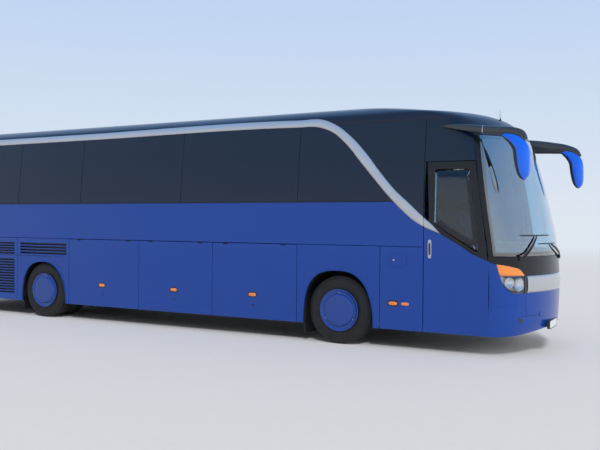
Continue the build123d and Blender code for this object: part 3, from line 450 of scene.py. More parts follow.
def paint(name, colour, coat=1.0, roughness=0.32, metallic=0.25, spread=0.12):
    """Sprayed lacquer: a flake layer that varies a little, faint orange peel and a hard clear coat."""
    material, nodes, links, shader = new_material(name)
    flakes = object_noise(nodes, links, 900.0, 2.0)
    uneven_colour(nodes, links, shader, flakes.outputs["Fac"], colour, spread)
    peel = object_noise(nodes, links, 140.0, 1.0)
    bumpy(nodes, links, shader, peel.outputs["Fac"], 0.03, 0.0004)
    shader.inputs["Roughness"].default_value = roughness
    shader.inputs["Metallic"].default_value = metallic
    shader.inputs["Specular IOR Level"].default_value = 0.2
    shader.inputs["Coat Weight"].default_value = coat
    shader.inputs["Coat Roughness"].default_value = 0.03
    return material


def moulded(name, colour, roughness=0.5, grain=260.0, depth=0.15, spread=0.15, metallic=0.0):
    """Moulded plastic, rubber or cast metal: a fine grain in its surface and a slightly uneven tone."""
    material, nodes, links, shader = new_material(name)
    tone = object_noise(nodes, links, 7.0, 5.0, 0.6)
    uneven_colour(nodes, links, shader, tone.outputs["Fac"], colour, spread)
    fine = object_noise(nodes, links, grain, 3.0)
    bumpy(nodes, links, shader, fine.outputs["Fac"], depth, 0.001)
    shader.inputs["Roughness"].default_value = roughness
    shader.inputs["Metallic"].default_value = metallic
    return material


def tinted_glass(name, colour, transmission, coat=1.0, mirror=1.5):
    """Tinted safety glass: a clear body with faint ripples from tempering and a reflecting film."""
    material, nodes, links, shader = new_material(name)
    ripple = object_noise(nodes, links, 1.3, 1.0)
    bumpy(nodes, links, shader, ripple.outputs["Fac"], 0.02, 0.01)
    shader.inputs["Base Color"].default_value = (*colour, 1)
    shader.inputs["Transmission Weight"].default_value = transmission
    shader.inputs["Roughness"].default_value = 0.01
    shader.inputs["IOR"].default_value = 1.5
    shader.inputs["Specular IOR Level"].default_value = 0.22
    shader.inputs["Coat Weight"].default_value = coat
    shader.inputs["Coat IOR"].default_value = mirror
    shader.inputs["Coat Roughness"].default_value = 0.01
    return material


def fluted_lens(name, colour, scale=110.0, transmission=0.55):
    """A moulded lamp lens with fine upright flutes."""
    material, nodes, links, shader = new_material(name)
    place = nodes.new("ShaderNodeTexCoord")
    wave = nodes.new("ShaderNodeTexWave")
    wave.bands_direction = "Y"
    wave.inputs["Scale"].default_value = scale
    links.new(place.outputs["Object"], wave.inputs["Vector"])
    bumpy(nodes, links, shader, wave.outputs["Fac"], 0.25, 0.002)
    shader.inputs["Base Color"].default_value = (*colour, 1)
    shader.inputs["Transmission Weight"].default_value = transmission
    shader.inputs["Roughness"].default_value = 0.08
    shader.inputs["Coat Weight"].default_value = 0.8
    return material


def seat_cloth(name, colour, accent):
    """Woven moquette: crossed fine bands of two threads, with a soft sheen."""
    material, nodes, links, shader = new_material(name)
    place = nodes.new("ShaderNodeTexCoord")
    weave = nodes.new("ShaderNodeTexMagic")
    weave.turbulence_depth = 2
    weave.inputs["Scale"].default_value = 60.0
    links.new(place.outputs["Object"], weave.inputs["Vector"])
    links.new(
        ramp(nodes, links, weave.outputs["Fac"], colour, accent, 0.35, 0.65), shader.inputs["Base Color"]
    )
    nap = object_noise(nodes, links, 700.0, 2.0)
    bumpy(nodes, links, shader, nap.outputs["Fac"], 0.5, 0.001)
    shader.inputs["Roughness"].default_value = 0.9
    shader.inputs["Sheen Weight"].default_value = 0.4
    return material


class CoachColours(bpy.types.PropertyGroup):
    """Colours of the coach's finishes."""

    body: bpy.props.FloatVectorProperty(
        name="Body blue", description="Lacquer of the body panels", subtype="COLOR", size=3,
        default=(0.001, 0.047, 0.300), min=0, max=1,
    )
    roof: bpy.props.FloatVectorProperty(
        name="Roof", description="Dark lacquer of the roof", subtype="COLOR", size=3,
        default=(0.008, 0.012, 0.030), min=0, max=1,
    )
    trim: bpy.props.FloatVectorProperty(
        name="Trim silver", description="Silver of the side trim and the bar in front", subtype="COLOR",
        size=3, default=(0.55, 0.56, 0.58), min=0, max=1,
    )
    cover: bpy.props.FloatVectorProperty(
        name="Wheel covers", description="Blue of the wheel covers", subtype="COLOR", size=3,
        default=(0.012, 0.052, 0.270), min=0, max=1,
    )
    head: bpy.props.FloatVectorProperty(
        name="Mirror heads", description="Brighter blue of the mirror heads", subtype="COLOR", size=3,
        default=(0.001, 0.125, 0.800), min=0, max=1,
    )
    floor: bpy.props.FloatVectorProperty(
        name="Studio floor", description="Pale floor and backdrop", subtype="COLOR", size=3,
        default=(0.80, 0.80, 0.81), min=0, max=1,
    )


class CoachSizes(bpy.types.PropertyGroup):
    """Sizes of what is added to the frame."""

    seam: bpy.props.FloatProperty(
        name="Panel seam", description="Half of the gap between two body panels", unit="LENGTH",
        default=GAP, min=0.001, max=0.01,
    )
    panel_edge: bpy.props.FloatProperty(
        name="Panel edge", description="Rounding of a body panel's folded edge", unit="LENGTH",
        default=0.004, min=0.001, max=0.02,
    )
    wall: bpy.props.FloatProperty(
        name="Body wall", description="Thickness of the body wall", unit="LENGTH", default=0.058,
        min=0.01, max=0.1,
    )
    glass: bpy.props.FloatProperty(
        name="Glass", description="Thickness of the panes", unit="LENGTH", default=0.008, min=0.004,
        max=0.02,
    )
    camera_lens: bpy.props.FloatProperty(
        name="Lens", description="Focal length on a 36 mm wide sensor, in millimetres", default=45.49,
        min=10, max=300,
    )


MATERIALS = {}


def finishes():
    """Makes every material once, from the colours in the panel."""
    if MATERIALS:
        return MATERIALS
    colours = bpy.context.scene.coach_colours
    MATERIALS.update(
        body=paint("body lacquer", colours.body, coat=0.65),
        roof=paint("roof lacquer", colours.roof, coat=0.45, roughness=0.4, metallic=0.1),
        black=paint("black lacquer", (0.005, 0.005, 0.006), coat=0.5, roughness=0.3, metallic=0.0),
        trim=paint("silver lacquer", colours.trim, roughness=0.35, metallic=0.75, spread=0.05),
        cover=paint("cover lacquer", colours.cover, coat=0.75, roughness=0.28),
        head=paint("mirror lacquer", colours.head, roughness=0.28),
        side_glass=tinted_glass("side glass", (0.004, 0.018, 0.050), 0.4, coat=0.2),
        door_glass=tinted_glass("door glass", (0.55, 0.66, 0.70), 1.0, coat=0.25),
        screen_glass=tinted_glass("screen glass", (0.52, 0.80, 0.95), 1.0, mirror=2.9),
        rubber=moulded("black rubber", (0.012, 0.012, 0.012), 0.65, 300.0, 0.2),
        tyre=moulded("tyre rubber", (0.011, 0.0095, 0.009), 0.70, 90.0, 0.35, 0.3),
        plastic=moulded("black plastic", (0.018, 0.018, 0.020), 0.42, 400.0, 0.2),
        interior=moulded("dark trim plastic", (0.045, 0.047, 0.052), 0.6, 300.0, 0.3),
        pale_interior=moulded("pale trim plastic", (0.42, 0.42, 0.40), 0.6, 300.0, 0.2),
        steel=moulded("painted steel", (0.020, 0.020, 0.022), 0.5, 60.0, 0.3, 0.4, 0.4),
        graphite=paint("graphite lacquer", (0.035, 0.038, 0.045), roughness=0.3, metallic=0.4),
        cast=moulded("cast metal", (0.11, 0.11, 0.11), 0.6, 45.0, 0.6, 0.3, 0.7),
        bare=moulded("bright metal", (0.60, 0.60, 0.60), 0.22, 200.0, 0.05, 0.08, 1.0),
        reflector=moulded("lamp reflector", (0.86, 0.87, 0.88), 0.07, 100.0, 0.02, 0.03, 1.0),
        plate=paint("plate enamel", (0.74, 0.74, 0.72), roughness=0.35, metallic=0.0, spread=0.03),
        clear=fluted_lens("clear lens", (0.95, 0.96, 0.97), 60.0, 1.0),
        amber=fluted_lens("amber lens", (1.0, 0.30, 0.04), 110.0, 0.25),
        red=fluted_lens("red lens", (0.62, 0.012, 0.012), 110.0, 0.35),
        cloth=seat_cloth("seat moquette", (0.015, 0.025, 0.11), (0.05, 0.07, 0.20)),
        floor_cover=moulded("floor covering", (0.08, 0.08, 0.085), 0.7, 500.0, 0.3),
        lining=moulded("cabin lining", (0.30, 0.30, 0.29), 0.8, 350.0, 0.3),
        # dark: near-black, both for the windscreen's printed border and as painted shade on the sheets
        # behind the grilles
        dark=moulded("dark print and painted shade", (0.006, 0.006, 0.007), 0.8, 120.0, 0.5),
    )
    return MATERIALS


def mesh_object(name, shape):
    """A mesh object at the origin, made of a shape."""
    points, quads = shape
    mesh = bpy.data.meshes.new(name)
    mesh.from_pydata(points.tolist(), [], quads.tolist())
    item = bpy.data.objects.new(name, mesh)
    bpy.context.scene.collection.objects.link(item)
    return item


def piece(name, shape, finish, body, replaces=(), solid=0.0, edge=0.0, sharp=40.0):
    """A piece of the coach: walls from Solidify, folded edges from Bevel."""
    item = mesh_object(name, shape)
    mesh = item.data
    mesh.validate()
    mesh.materials.append(finishes()[finish])
    clean(mesh)
    mesh.shade_smooth()
    if not solid:
        mesh.set_sharp_from_angle(angle=math.radians(sharp))
    if solid:
        thicken = item.modifiers.new("Wall", "SOLIDIFY")
        thicken.thickness, thicken.offset = solid, -1
        thicken.use_quality_normals = True
    if edge:
        fold = item.modifiers.new("Folded edge", "BEVEL")
        fold.width, fold.segments = edge, 2
        fold.limit_method, fold.angle_limit = "ANGLE", math.radians(35)
        fold.harden_normals = True
    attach(item, body)
    if replaces:
        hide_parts(*replaces)
    return item


def clean(mesh):
    """Merges points that fall together, such as a pole's, and drops faces without area."""
    work = bmesh.new()
    work.from_mesh(mesh)
    bmesh.ops.remove_doubles(work, verts=work.verts, dist=1e-6)
    bmesh.ops.dissolve_degenerate(work, edges=work.edges, dist=1e-7)
    work.to_mesh(mesh)
    work.free()


# Grids on the shell.
EDGE_TURN = math.radians(64.8)


def roof_edge(z):
    """Where the roof's front cap meets the side glass: a fixed turn along the corner arc."""
    section = Section(z)
    return section.shoulder + section.corner * math.cos(EDGE_TURN)


def glass_edge(z):
    """The front end of the side glass: the pillar's slant, then the roof's front shoulder."""
    z = np.asarray(z, float)
    return np.where(z < SCREEN_TOP, pillar_x(z), roof_edge(np.maximum(z, SCREEN_TOP)))


def screen_edge(z):
    """The side edge of the windscreen, parallel to the pillar."""
    return pillar_x(z) + 0.070


def value_at(limit, at):
    """A limit that is a number or a function of place."""
    return limit(at) if callable(limit) else limit + 0 * at


def side_patch(side, low, high, z, step=0.12, out=0.0):
    """Rows at heights z; each runs evenly from length low to length high along the side."""
    z = np.asarray(z, float)
    first, last = value_at(low, z), value_at(high, z)
    t = np.linspace(0, 1, max(int(np.ceil(np.max(last - first) / step)), 1) + 1)
    x = first[:, None] + (last - first)[:, None] * t
    return sheet(on_side(x, z[:, None], side, out), (0, side, 0))


def side_columns(side, x, foot, top, rows=8, out=0.0):
    """Columns at lengths x; each runs evenly from height foot to height top."""
    x = np.asarray(x, float)
    low, high = value_at(foot, x), value_at(top, x)
    t = np.linspace(0, 1, rows + 1)[:, None]
    return sheet(on_side(x + 0 * t, low + (high - low) * t, side, out), (0, side, 0))


def front_patch(z, edge, count=48):
    """Rows at heights z round the front, each from length edge on the right to the same on the left."""
    z = np.asarray(z, float)[:, None]
    reach = Section(z).reach(value_at(edge, z))
    t = np.linspace(-1, 1, count + 1)
    return sheet(on_front(t * reach, z), (1, 0, 0))


def distances(points):
    """How far along a line of points each of them lies."""
    return np.concatenate([[0], np.cumsum(np.linalg.norm(np.diff(points, axis=0), axis=1))])


def smooth_curve(points, count):
    """A cubic Hermite curve through points, by chord length, its slopes the means of the chords' slopes."""
    points = np.asarray(points, float)
    along = distances(points)
    slope = np.gradient(points, along, axis=0)
    at = np.linspace(0, along[-1], count)
    span = np.clip(np.searchsorted(along, at, side="right") - 1, 0, len(along) - 2)
    width = (along[span + 1] - along[span])[:, None]
    return hermite(points, slope, span, width, (at - along[span])[:, None] / width)


def evenly(points, count):
    """The same line with its points spread evenly along its length."""
    along = distances(points)
    at = np.linspace(0, along[-1], count)
    return np.stack([np.interp(at, along, column) for column in points.T], axis=-1)


def band(inner, outer, place, rows=4, facing=None, closed=False):
    """A band between two lines of equally many points, straight across in the plane of place."""
    t = np.linspace(0, 1, rows + 1)[:, None, None]
    flat = inner + (outer - inner) * t
    return sheet(place(flat[..., 0], flat[..., 1]), facing, round_columns=closed)


# Roof: one smooth shell with two escape hatches.
ROOF_ROWS = np.concatenate(
    [
        np.linspace(ROOF_LINE, 3.375, 5),
        np.linspace(3.375, 3.480, 6)[1:],
        np.linspace(3.480, 3.560, 7)[1:],
        np.linspace(3.560, 3.600, 9)[1:],
    ]
)
HATCHES = (FRONT - 1.500, FRONT - 6.500)


def roof_rings(z):
    """Half a level ring of the shell, from the tail's middle round the right side to the nose: the flat
    tail, its corner, the straight side, the front corner up to the roof's shoulder and then the front
    cap."""
    section = Section(z[:, None])
    flat = section.half - section.rear_corner
    behind = np.linspace(0, 1, 9)[:-1] * flat
    turned = flat + np.linspace(0, 1, 7)[:-1] * section.rear_corner * math.pi / 2
    rear = np.concatenate([behind, turned], axis=1)
    rear_x, rear_y = section.rear_point(rear)
    start = section.tail + section.rear_corner
    side_x = start + np.linspace(0, 1, 61)[:-1] * (section.shoulder - start)
    quarter = section.bow * section.turn + section.corner * (math.pi / 2 - section.turn)
    shoulder = section.bow * section.turn + section.corner * (EDGE_TURN - section.turn)
    corner_x, corner_y = section.front_point(quarter + np.linspace(0, 1, 6)[:-1] * (shoulder - quarter))
    cap_x, cap_y = section.front_point(shoulder * np.linspace(1, 0, 25))
    x = np.concatenate([rear_x, side_x, corner_x, cap_x], axis=1)
    y = np.concatenate([rear_y, -section.half + 0 * side_x, corner_y, cap_y], axis=1)
    return stacked(x, y, z[:, None])


class BuildRoof(bpy.types.Operator):
    """Roof shell: level rings of the body stacked up to the crown and closed onto the middle line, with the
    cap over the windscreen and two hatches of rounded rings."""

    bl_idname = "coach.roof"
    bl_label = "Roof"

    def execute(self, context):
        rings = roof_rings(ROOF_ROWS)
        crown = rings[-1] * np.linspace(1, 0, 7)[1:, None, None] ** [0, 1, 0]
        crown[..., 2] = rings[-1][..., 2] + 0.004 * (1 - np.linspace(1, 0, 7)[1:, None] ** 2)
        half = np.concatenate([rings, crown])
        cap = roof_rings(np.linspace(SCREEN_TOP + GAP, ROOF_LINE, 8))[:, -25:]
        right = joined(sheet(half, (0, -0.3, 1)), sheet(cap, (1, -0.3, 0)))
        roof = piece("roof_shell", both_sides(right), "roof", "coach", ["roof"],
                     solid=0.05)
        roof.modifiers["Wall"].use_rim = True
        hatches = []
        for x in HATCHES:
            outline = np.stack([oval(0.70, 0.62, 48, 8.0) * k for k in (1.0, 1.0, 0.985, 0.94, 0.5, 0.0)])
            height = np.array([3.597, 3.613, 3.618, 3.620, 3.620, 3.620])[:, None]
            points = np.concatenate(
                [outline + [x, 0], np.broadcast_to(height[..., None], (*outline.shape[:2], 1))], axis=-1
            )
            hatches.append(sheet(points, (0, 0, 1), round_columns=True))
        piece("roof_hatches", joined(*hatches), "black", "coach", sharp=30)
        return {"FINISHED"}


# Side glass: flush panes with narrow dark joints.
# The sill's bend before the door, from the front axle, the length of its slope and the slope's low end.
SILL_BEND, SILL_SLOPE, SILL_END = 0.950, 0.359, 1.820
PANE_ROWS = np.linspace(SILL + GAP, ROOF_LINE, 17)
PANE_GAP = 0.004
PANE_EDGE = 0.0015


def sill(x):
    """The lower edge of the glass band: level, then down along the trim to the door."""
    return SILL + (SILL_END - SILL) * np.clip((np.asarray(x) - FRONT - SILL_BEND) / SILL_SLOPE, 0, 1)


class BuildSideGlass(bpy.types.Operator):
    """Side panes: grids on the shell between two seams, the front ones ending on the sloping sill, the
    pillar and the roof's shoulder."""

    bl_idname = "coach.side_glass"
    bl_label = "Side glass"

    def execute(self, context):
        glass = context.scene.coach_sizes.glass
        for name, side in SIDES:
            panes = [
                side_patch(side, start + PANE_GAP, end - PANE_GAP, PANE_ROWS)
                for start, end in zip(WINDOW_SEAMS[:-2], WINDOW_SEAMS[1:-1])
            ]
            columns = lines(WINDOW_SEAMS[-2] + PANE_GAP, FRONT + SILL_BEND, DOOR_REAR - PANE_GAP, step=0.12)
            panes.append(side_columns(side, columns, lambda x: sill(x) + GAP, ROOF_LINE, 16))
            foot = DOOR_TOP if side < 0 else DRIVER_SILL
            rows = lines(foot + GAP, SCREEN_TOP, ROOF_LINE, step=0.06)
            panes.append(
                side_patch(side, DOOR_REAR + PANE_GAP, lambda z: glass_edge(z) - PANE_GAP, rows, 0.08)
            )
            piece(f"{name}_panes", joined(*panes), "side_glass", "coach",
                  [f"{name}_side_glass"], solid=glass, edge=PANE_EDGE)
            rubber = [
                side_patch(side, x - 0.012, x + 0.012, PANE_ROWS, out=-0.006) for x in WINDOW_SEAMS[:-1]
            ]
            foot_rows = [SILL - 0.004, SILL + 0.014]
            rubber.append(side_patch(side, REAR_SEAM, DOOR_REAR - 0.36, foot_rows, 0.2, 0.002))
            piece(f"{name}_pane_seals", joined(*rubber), "rubber", "coach", solid=0.004)
        return {"FINISHED"}


# Lower walls.
GRILLES = (
    (FRONT - 6.706, FRONT - 5.510, 1.165, 1.390, 4),
    (FRONT - 8.600, FRONT - 6.862, 1.149, 1.391, 5),
    (FRONT - 8.600, FRONT - 6.862, 0.404, 1.076, 13),
)
MULLION = 0.040
SLOT_SHARE = 0.64
# Each arch: its top, then the reach and the superellipse's power of its rear half and of its front half.
ARCHES = {FRONT: (1.088, (0.582, 2.88), (0.555, 2.40)), REAR: (1.029, (0.562, 2.70), (0.562, 2.17))}
ARCH_PANEL, ARCH_LINER = 0.016, 0.050
ARCH_JOINT = 1.140
# Where along an arch's outline the panel's upper edge begins and ends.
ARCH_SHARES = (0.36, 0.64)
REAR_PANEL = (FRONT - 6.787, FRONT - 5.441)
FRONT_PANEL = (FRONT - 0.705, FRONT + 0.658)


def slots(grille):
    """The slots of a grille, as low and high ends and heights; a mullion halves the long ones."""
    start, end, foot, top, count = grille
    pitch, centre = (top - foot) / count, (start + end) / 2
    found = []
    for index in range(count):
        low = foot + pitch * (index + (1 - SLOT_SHARE) / 2)
        halves = ((start, centre - MULLION / 2), (centre + MULLION / 2, end))
        for ends in halves if end - start > 1.5 else ((start, end),):
            found.append((*ends, low, low + pitch * SLOT_SHARE))
    return found


def grille_marks(grille):
    """The columns and rows that the edges of a grille's slots fall on."""
    holes = np.array(slots(grille))
    return np.unique(holes[:, :2].round(5)), np.unique(holes[:, 2:].round(5))


def flat_panel(side, x, z, holes=()):
    """A panel on the upright side wall, without the cells inside the holes."""
    return plate(lambda a, b: on_side(a, b, side), x, z, holes, (0, side, 0))


def arch_line(axle, grow=0.0, count=90):
    """The arch's outline from its rear foot over to its front foot: a quarter superellipse on each side of
    the axle, |x/a|^p + |z/b|^p = 1."""
    top, *halves = ARCHES[axle]
    quarters = []
    for way, (reach, power) in zip((-1, 1), halves):
        angle = np.linspace(0, math.pi / 2, 121)
        x = axle + way * (reach + grow) * np.cos(angle) ** (2 / power)
        z = SKIRT + (top + grow - SKIRT) * np.sin(angle) ** (2 / power)
        quarters.append(stacked(x, z)[::-way])
    return evenly(np.vstack([quarters[0], quarters[1][1:]]), count)


def arch_panel(side, axle, low, high, top, x_marks):
    """The panel round an arch: a band from the arch's outline out to a rectangle, whose points go up its
    rear edge, along the columns of the panel above it and down its front edge."""
    left = stacked(np.full(16, low), np.linspace(SKIRT, top, 17)[:-1])
    right = stacked(np.full(16, high), np.linspace(top, SKIRT, 17)[1:])
    above = stacked(x_marks, np.full(len(x_marks), top))
    outer = np.vstack([left, above, right])
    shares = np.concatenate(
        [
            np.linspace(0, ARCH_SHARES[0], len(left) + 1)[:-1],
            np.linspace(*ARCH_SHARES, len(above)),
            np.linspace(ARCH_SHARES[1], 1, len(right) + 1)[1:],
        ]
    )
    fine = arch_line(axle, count=400)
    inner = np.stack([np.interp(shares, np.linspace(0, 1, 400), column) for column in fine.T], -1)
    return band(inner, outer, lambda a, b: on_side(a, b, side), 3, (0, side, 0))


def lower_panels(side):
    """The fixed panels of one lower side wall, then the two round its arches."""
    seam = bpy.context.scene.coach_sizes.seam
    upper_marks, upper_rows = grille_marks(GRILLES[1])
    _, lower_rows = grille_marks(GRILLES[2])
    tail = flat_panel(
        side,
        lines(REAR_SEAM + seam, *upper_marks, REAR_PANEL[0] - seam, step=0.3),
        lines(SKIRT, *lower_rows, *upper_rows, FLAP_LINE - seam, step=0.2),
        slots(GRILLES[1]) + slots(GRILLES[2]),
    )
    marks, rows = grille_marks(GRILLES[0])
    columns = lines(REAR_PANEL[0] + seam, *marks, REAR_PANEL[1] - seam, step=0.06)
    over_rear = flat_panel(side, columns, lines(ARCH_JOINT, *rows, FLAP_LINE - seam), slots(GRILLES[0]))
    round_rear = arch_panel(side, REAR, columns[0], columns[-1], ARCH_JOINT, columns)
    columns = lines(FRONT_PANEL[0] + seam, FRONT_PANEL[1] - seam, step=0.06)
    round_front = arch_panel(side, FRONT, columns[0], columns[-1], FLAP_LINE - seam, columns)
    service = flat_panel(
        side,
        lines(FRONT_PANEL[1] + seam, DOOR_REAR - seam, step=0.2),
        lines(SKIRT, FLAP_LINE - seam, step=0.2),
    )
    columns = lines(REAR_SEAM + seam, FRONT + SILL_BEND, DOOR_REAR - seam, step=0.3)
    belt = side_columns(side, columns, FLAP_LINE + seam, lambda x: sill(x) - GAP, 6)
    panels = [tail, over_rear, service, belt]
    if side > 0:
        rows = lines(SKIRT, PILLAR_BEND, DRIVER_SILL - GAP, step=0.1)
        panels.append(side_patch(side, DOOR_REAR + seam, lambda z: pillar_x(z) - seam, rows, 0.1))
    return joined(*panels), joined(round_rear, round_front)


class BuildLowerWalls(bpy.types.Operator):
    """Lower side walls: flat panels with slotted grilles and C-shaped bands round the arches, slanted louvre
    blades behind the slots and a rolled lip along each arch."""

    bl_idname = "coach.lower_walls"
    bl_label = "Lower walls"

    def execute(self, context):
        sizes = context.scene.coach_sizes
        for name, side in SIDES:
            flat, arched = lower_panels(side)
            piece(f"{name}_lower_panels", flat, "body", "coach",
                  [f"{name}_lower_wall"], solid=sizes.wall, edge=sizes.panel_edge)
            piece(f"{name}_arch_panels", arched, "body", "coach", solid=ARCH_PANEL,
                  edge=sizes.panel_edge)
            blades = []
            for start, end, foot, top in (hole for grille in GRILLES for hole in slots(grille)):
                z = np.array([top + 0.002, foot + 0.4 * (top - foot), foot - 0.012])[:, None]
                depth = np.array([0.006, 0.020, 0.045])[:, None]
                x = np.array([[start, end]]) + 0 * z
                blade = stacked(x, side * (HALF - depth), z)
                blades.append(sheet(blade, (0, side, 1)))
            piece(f"{name}_louvres", joined(*blades), "plastic", "coach", solid=0.003)
            # A near-black sheet a little behind each grille: painted shade for the dark space behind its
            # slots.
            backs = [
                side_patch(side, g[0] - 0.01, g[1] + 0.01, [g[2] - 0.01, g[3] + 0.01], 1.0, -0.056)
                for g in GRILLES
            ]
            piece(f"{name}_grille_painted_shade", joined(*backs), "dark", "coach", solid=0.002)
            lips, liners = [], []
            for axle in (FRONT, REAR):
                line = arch_line(axle, 0.006)
                path = stacked(line[:, 0], np.full(len(line), side * (HALF + 0.001)), line[:, 1])
                lip = swept(path, oval(0.012, 0.020, 12, 2.4), (0, 1, 0))
                lips.append(outward(lip, path.mean(axis=0)))
                line = arch_line(axle, 0.012)
                depth = np.array([ARCH_PANEL, ARCH_PANEL + ARCH_LINER])[:, None]
                wall = np.stack([line[:, 0] + 0 * depth, side * (HALF - depth + 0 * line[:, 0]),
                                 line[:, 1] + 0 * depth], -1)
                liners.append(inward(sheet(wall), axle))
            piece(f"{name}_arch_lips", joined(*lips), "body", "coach", sharp=60)
            piece(f"{name}_arch_liners", joined(*liners), "rubber", "coach", solid=0.006)
        return {"FINISHED"}


# Luggage flaps.
HINGE_Y, HINGE_Z, BARREL = HALF - 0.006, FLAP_LINE - 0.012, 0.006
HINGE_INSET, BODY_BARREL, FLAP_BARREL = 0.250, 0.080, 0.060
NOTCH, NOTCH_DEPTH = BODY_BARREL + 0.004, 0.016
BARREL_PITCH = BODY_BARREL / 2 + 0.0003 + FLAP_BARREL / 2
# The inner pressing: how far it stays inside the skin's edges and below its top, and the depths of its back,
# its rim's outer edge and its raised fields.
PRESSING_INSET, PRESSING_DROP = 0.004, 0.020
PRESSING_DEPTH, RIM_DEPTH, FIELD_STEP = 0.0400, 0.010, 0.024


def tube(start, end, radius, count=12):
    """A round bar between two points, closed at both ends."""
    start, end = np.asarray(start, float), np.asarray(end, float)
    up = (0, 0, 1) if abs(end[2] - start[2]) < 0.9 * np.linalg.norm(end - start) else (1, 0, 0)
    return swept(np.linspace(start, end, 3), oval(2 * radius, 2 * radius, count), up)


def barrels(points, axis, length):
    """Hinge barrels of one length centred at points."""
    reach = np.asarray(axis, float) * length / 2
    return joined(*[tube(np.asarray(p) - reach, np.asarray(p) + reach, BARREL, 16) for p in points])


def pressed_back(low, high, foot, top, fields, place):
    """An inner panel with raised fields: its depth steps back inside each field, over sloping edges."""
    x = lines(low, *[v for f in fields for v in (f[0], f[0] + 0.02, f[1] - 0.02, f[1])], high, step=0.2)
    z = lines(foot, foot + 0.08, foot + 0.10, top - 0.10, top - 0.08, top, step=0.3)
    a, b = np.meshgrid(x, z)
    inside = np.zeros_like(a)
    for f in fields:
        along = np.clip(np.minimum(a - f[0], f[1] - a) / 0.02, 0, 1)
        up = np.clip(np.minimum(b - foot - 0.08, top - 0.08 - b) / 0.02, 0, 1)
        inside = np.maximum(inside, np.minimum(along, up))
    return place(a, b, inside)


class BuildFlaps(bpy.types.Operator):
    """Luggage flaps: a flat outer skin with folded edges and a notch over each hinge, an inner pressing
    whose fields step back, hinge barrels and a lock."""

    bl_idname = "coach.flaps"
    bl_label = "Luggage flaps"

    def execute(self, context):
        for name, side in SIDES:
            for number, (start, end) in enumerate(BAYS, 1):
                self.flap(f"{name}_flap_{number}", side, start, end, context.scene.coach_sizes)
        return {"FINISHED"}

    def flap(self, body, side, start, end, sizes):
        """One flap, between the ends of its bay."""
        low, high, top = start + sizes.seam, end - sizes.seam, FLAP_LINE - 2 * sizes.seam
        stations = (start + HINGE_INSET, end - HINGE_INSET)
        notches = [(x - NOTCH / 2, x + NOTCH / 2, top - NOTCH_DEPTH, top) for x in stations]
        columns = lines(low, *[v for notch in notches for v in notch[:2]], high, step=0.4)
        skin = flat_panel(side, columns, lines(SKIRT, top - NOTCH_DEPTH, top, step=0.3), notches)
        piece(f"{body}_skin", skin, "body", body, [body], solid=0.012, edge=sizes.panel_edge)
        middle_x = (low + high) / 2
        fields = ((low + 0.06, middle_x - 0.03), (middle_x + 0.03, high - 0.06))

        def back(a, b, inside):
            y = side * (HALF - PRESSING_DEPTH + FIELD_STEP * inside)
            return sheet(stacked(a, y, b), (0, -side, 0))

        rear, front = low + PRESSING_INSET, high - PRESSING_INSET
        foot, head = SKIRT + PRESSING_INSET, top - PRESSING_DROP
        inner = pressed_back(rear, front, foot, head, fields, back)
        piece(f"{body}_pressing", inner, "steel", body, solid=0.002)
        rim_x, rim_z = np.array([(rear, foot), (front, foot), (front, head), (rear, head)]).T
        depths = (RIM_DEPTH, PRESSING_DEPTH)
        wall = np.stack([stacked(rim_x, np.full(4, side * (HALF - d)), rim_z) for d in depths])
        piece(f"{body}_rim", sheet(wall, round_columns=True), "steel", body, solid=0.002,
              sharp=30)
        spots = [(x + k * BARREL_PITCH, side * HINGE_Y, HINGE_Z) for x in stations for k in (-1, 1)]
        piece(f"{body}_barrels", barrels(spots, (1, 0, 0), FLAP_BARREL), "steel", body)
        fixed = [(x, side * HINGE_Y, HINGE_Z) for x in stations]
        piece(f"{body}_fixed_barrels", barrels(fixed, (1, 0, 0), BODY_BARREL), "steel", "coach")
        piece(f"{body}_lock", lock(side, middle_x, 0.50, 0.011), "steel", body, sharp=30)


def lock(side, x, z, radius):
    """A round lock: a turned bezel with a sunk barrel."""
    profile = [
        (0.0, 0.002), (0.006, 0.002), (0.007, 0.0035), (0.011, 0.0045), (0.014, 0.0035), (radius, -0.001)
    ]
    points, quads = lathe([(r, side * (HALF + y)) for r, y in profile], x, z, 24)
    return points, quads if side < 0 else quads[:, ::-1]


# Silver trim.
TRIM_UPPER = np.array(
    [(-8.970, 3.375), (-4.9, 3.375), (-0.750, 3.375), (-0.330, 3.360), (-0.076, 3.251), (0.171, 3.062),
     (0.412, 2.818), (0.650, 2.529), (0.882, 2.274), (1.109, 2.073), (1.310, 1.890), (1.440, 1.780),
     (1.557, 1.656)]
)
TRIM_LOWER = np.array(
    [(-8.970, 3.256), (-4.9, 3.256), (-0.750, 3.256), (-0.420, 3.246), (-0.158, 3.152), (0.091, 2.948),
     (0.334, 2.675), (0.573, 2.408), (0.807, 2.153), (0.990, 1.977), (1.170, 1.828), (1.340, 1.738),
     (1.557, 1.656)]
)
TRIM_PROUD = 0.014


def trim_strip(side, start, end):
    """The trim between two lengths: its two edge curves cut at those lengths, joined by a crowned section
    that stands out by the sine of the way across, to a small power."""
    edges = []
    for points in (TRIM_LOWER, TRIM_UPPER):
        curve = smooth_curve(points + [FRONT, 0], 900)
        inside = curve[(curve[:, 0] > start) & (curve[:, 0] < end)]
        limits = (max(start, curve[0, 0]), min(end, curve[-1, 0]))
        ends = [(x, np.interp(x, curve[:, 0], curve[:, 1])) for x in limits]
        edges.append(evenly(np.vstack([ends[:1], inside, ends[1:]]), 150))
    across = np.linspace(0, 1, 9)[:, None, None]
    flat = edges[0] + (edges[1] - edges[0]) * across
    out = TRIM_PROUD * np.sin(math.pi * across[..., 0]) ** 0.45 - 0.001
    return sheet(on_side(flat[..., 0], flat[..., 1], side, out), (0, side, 0))


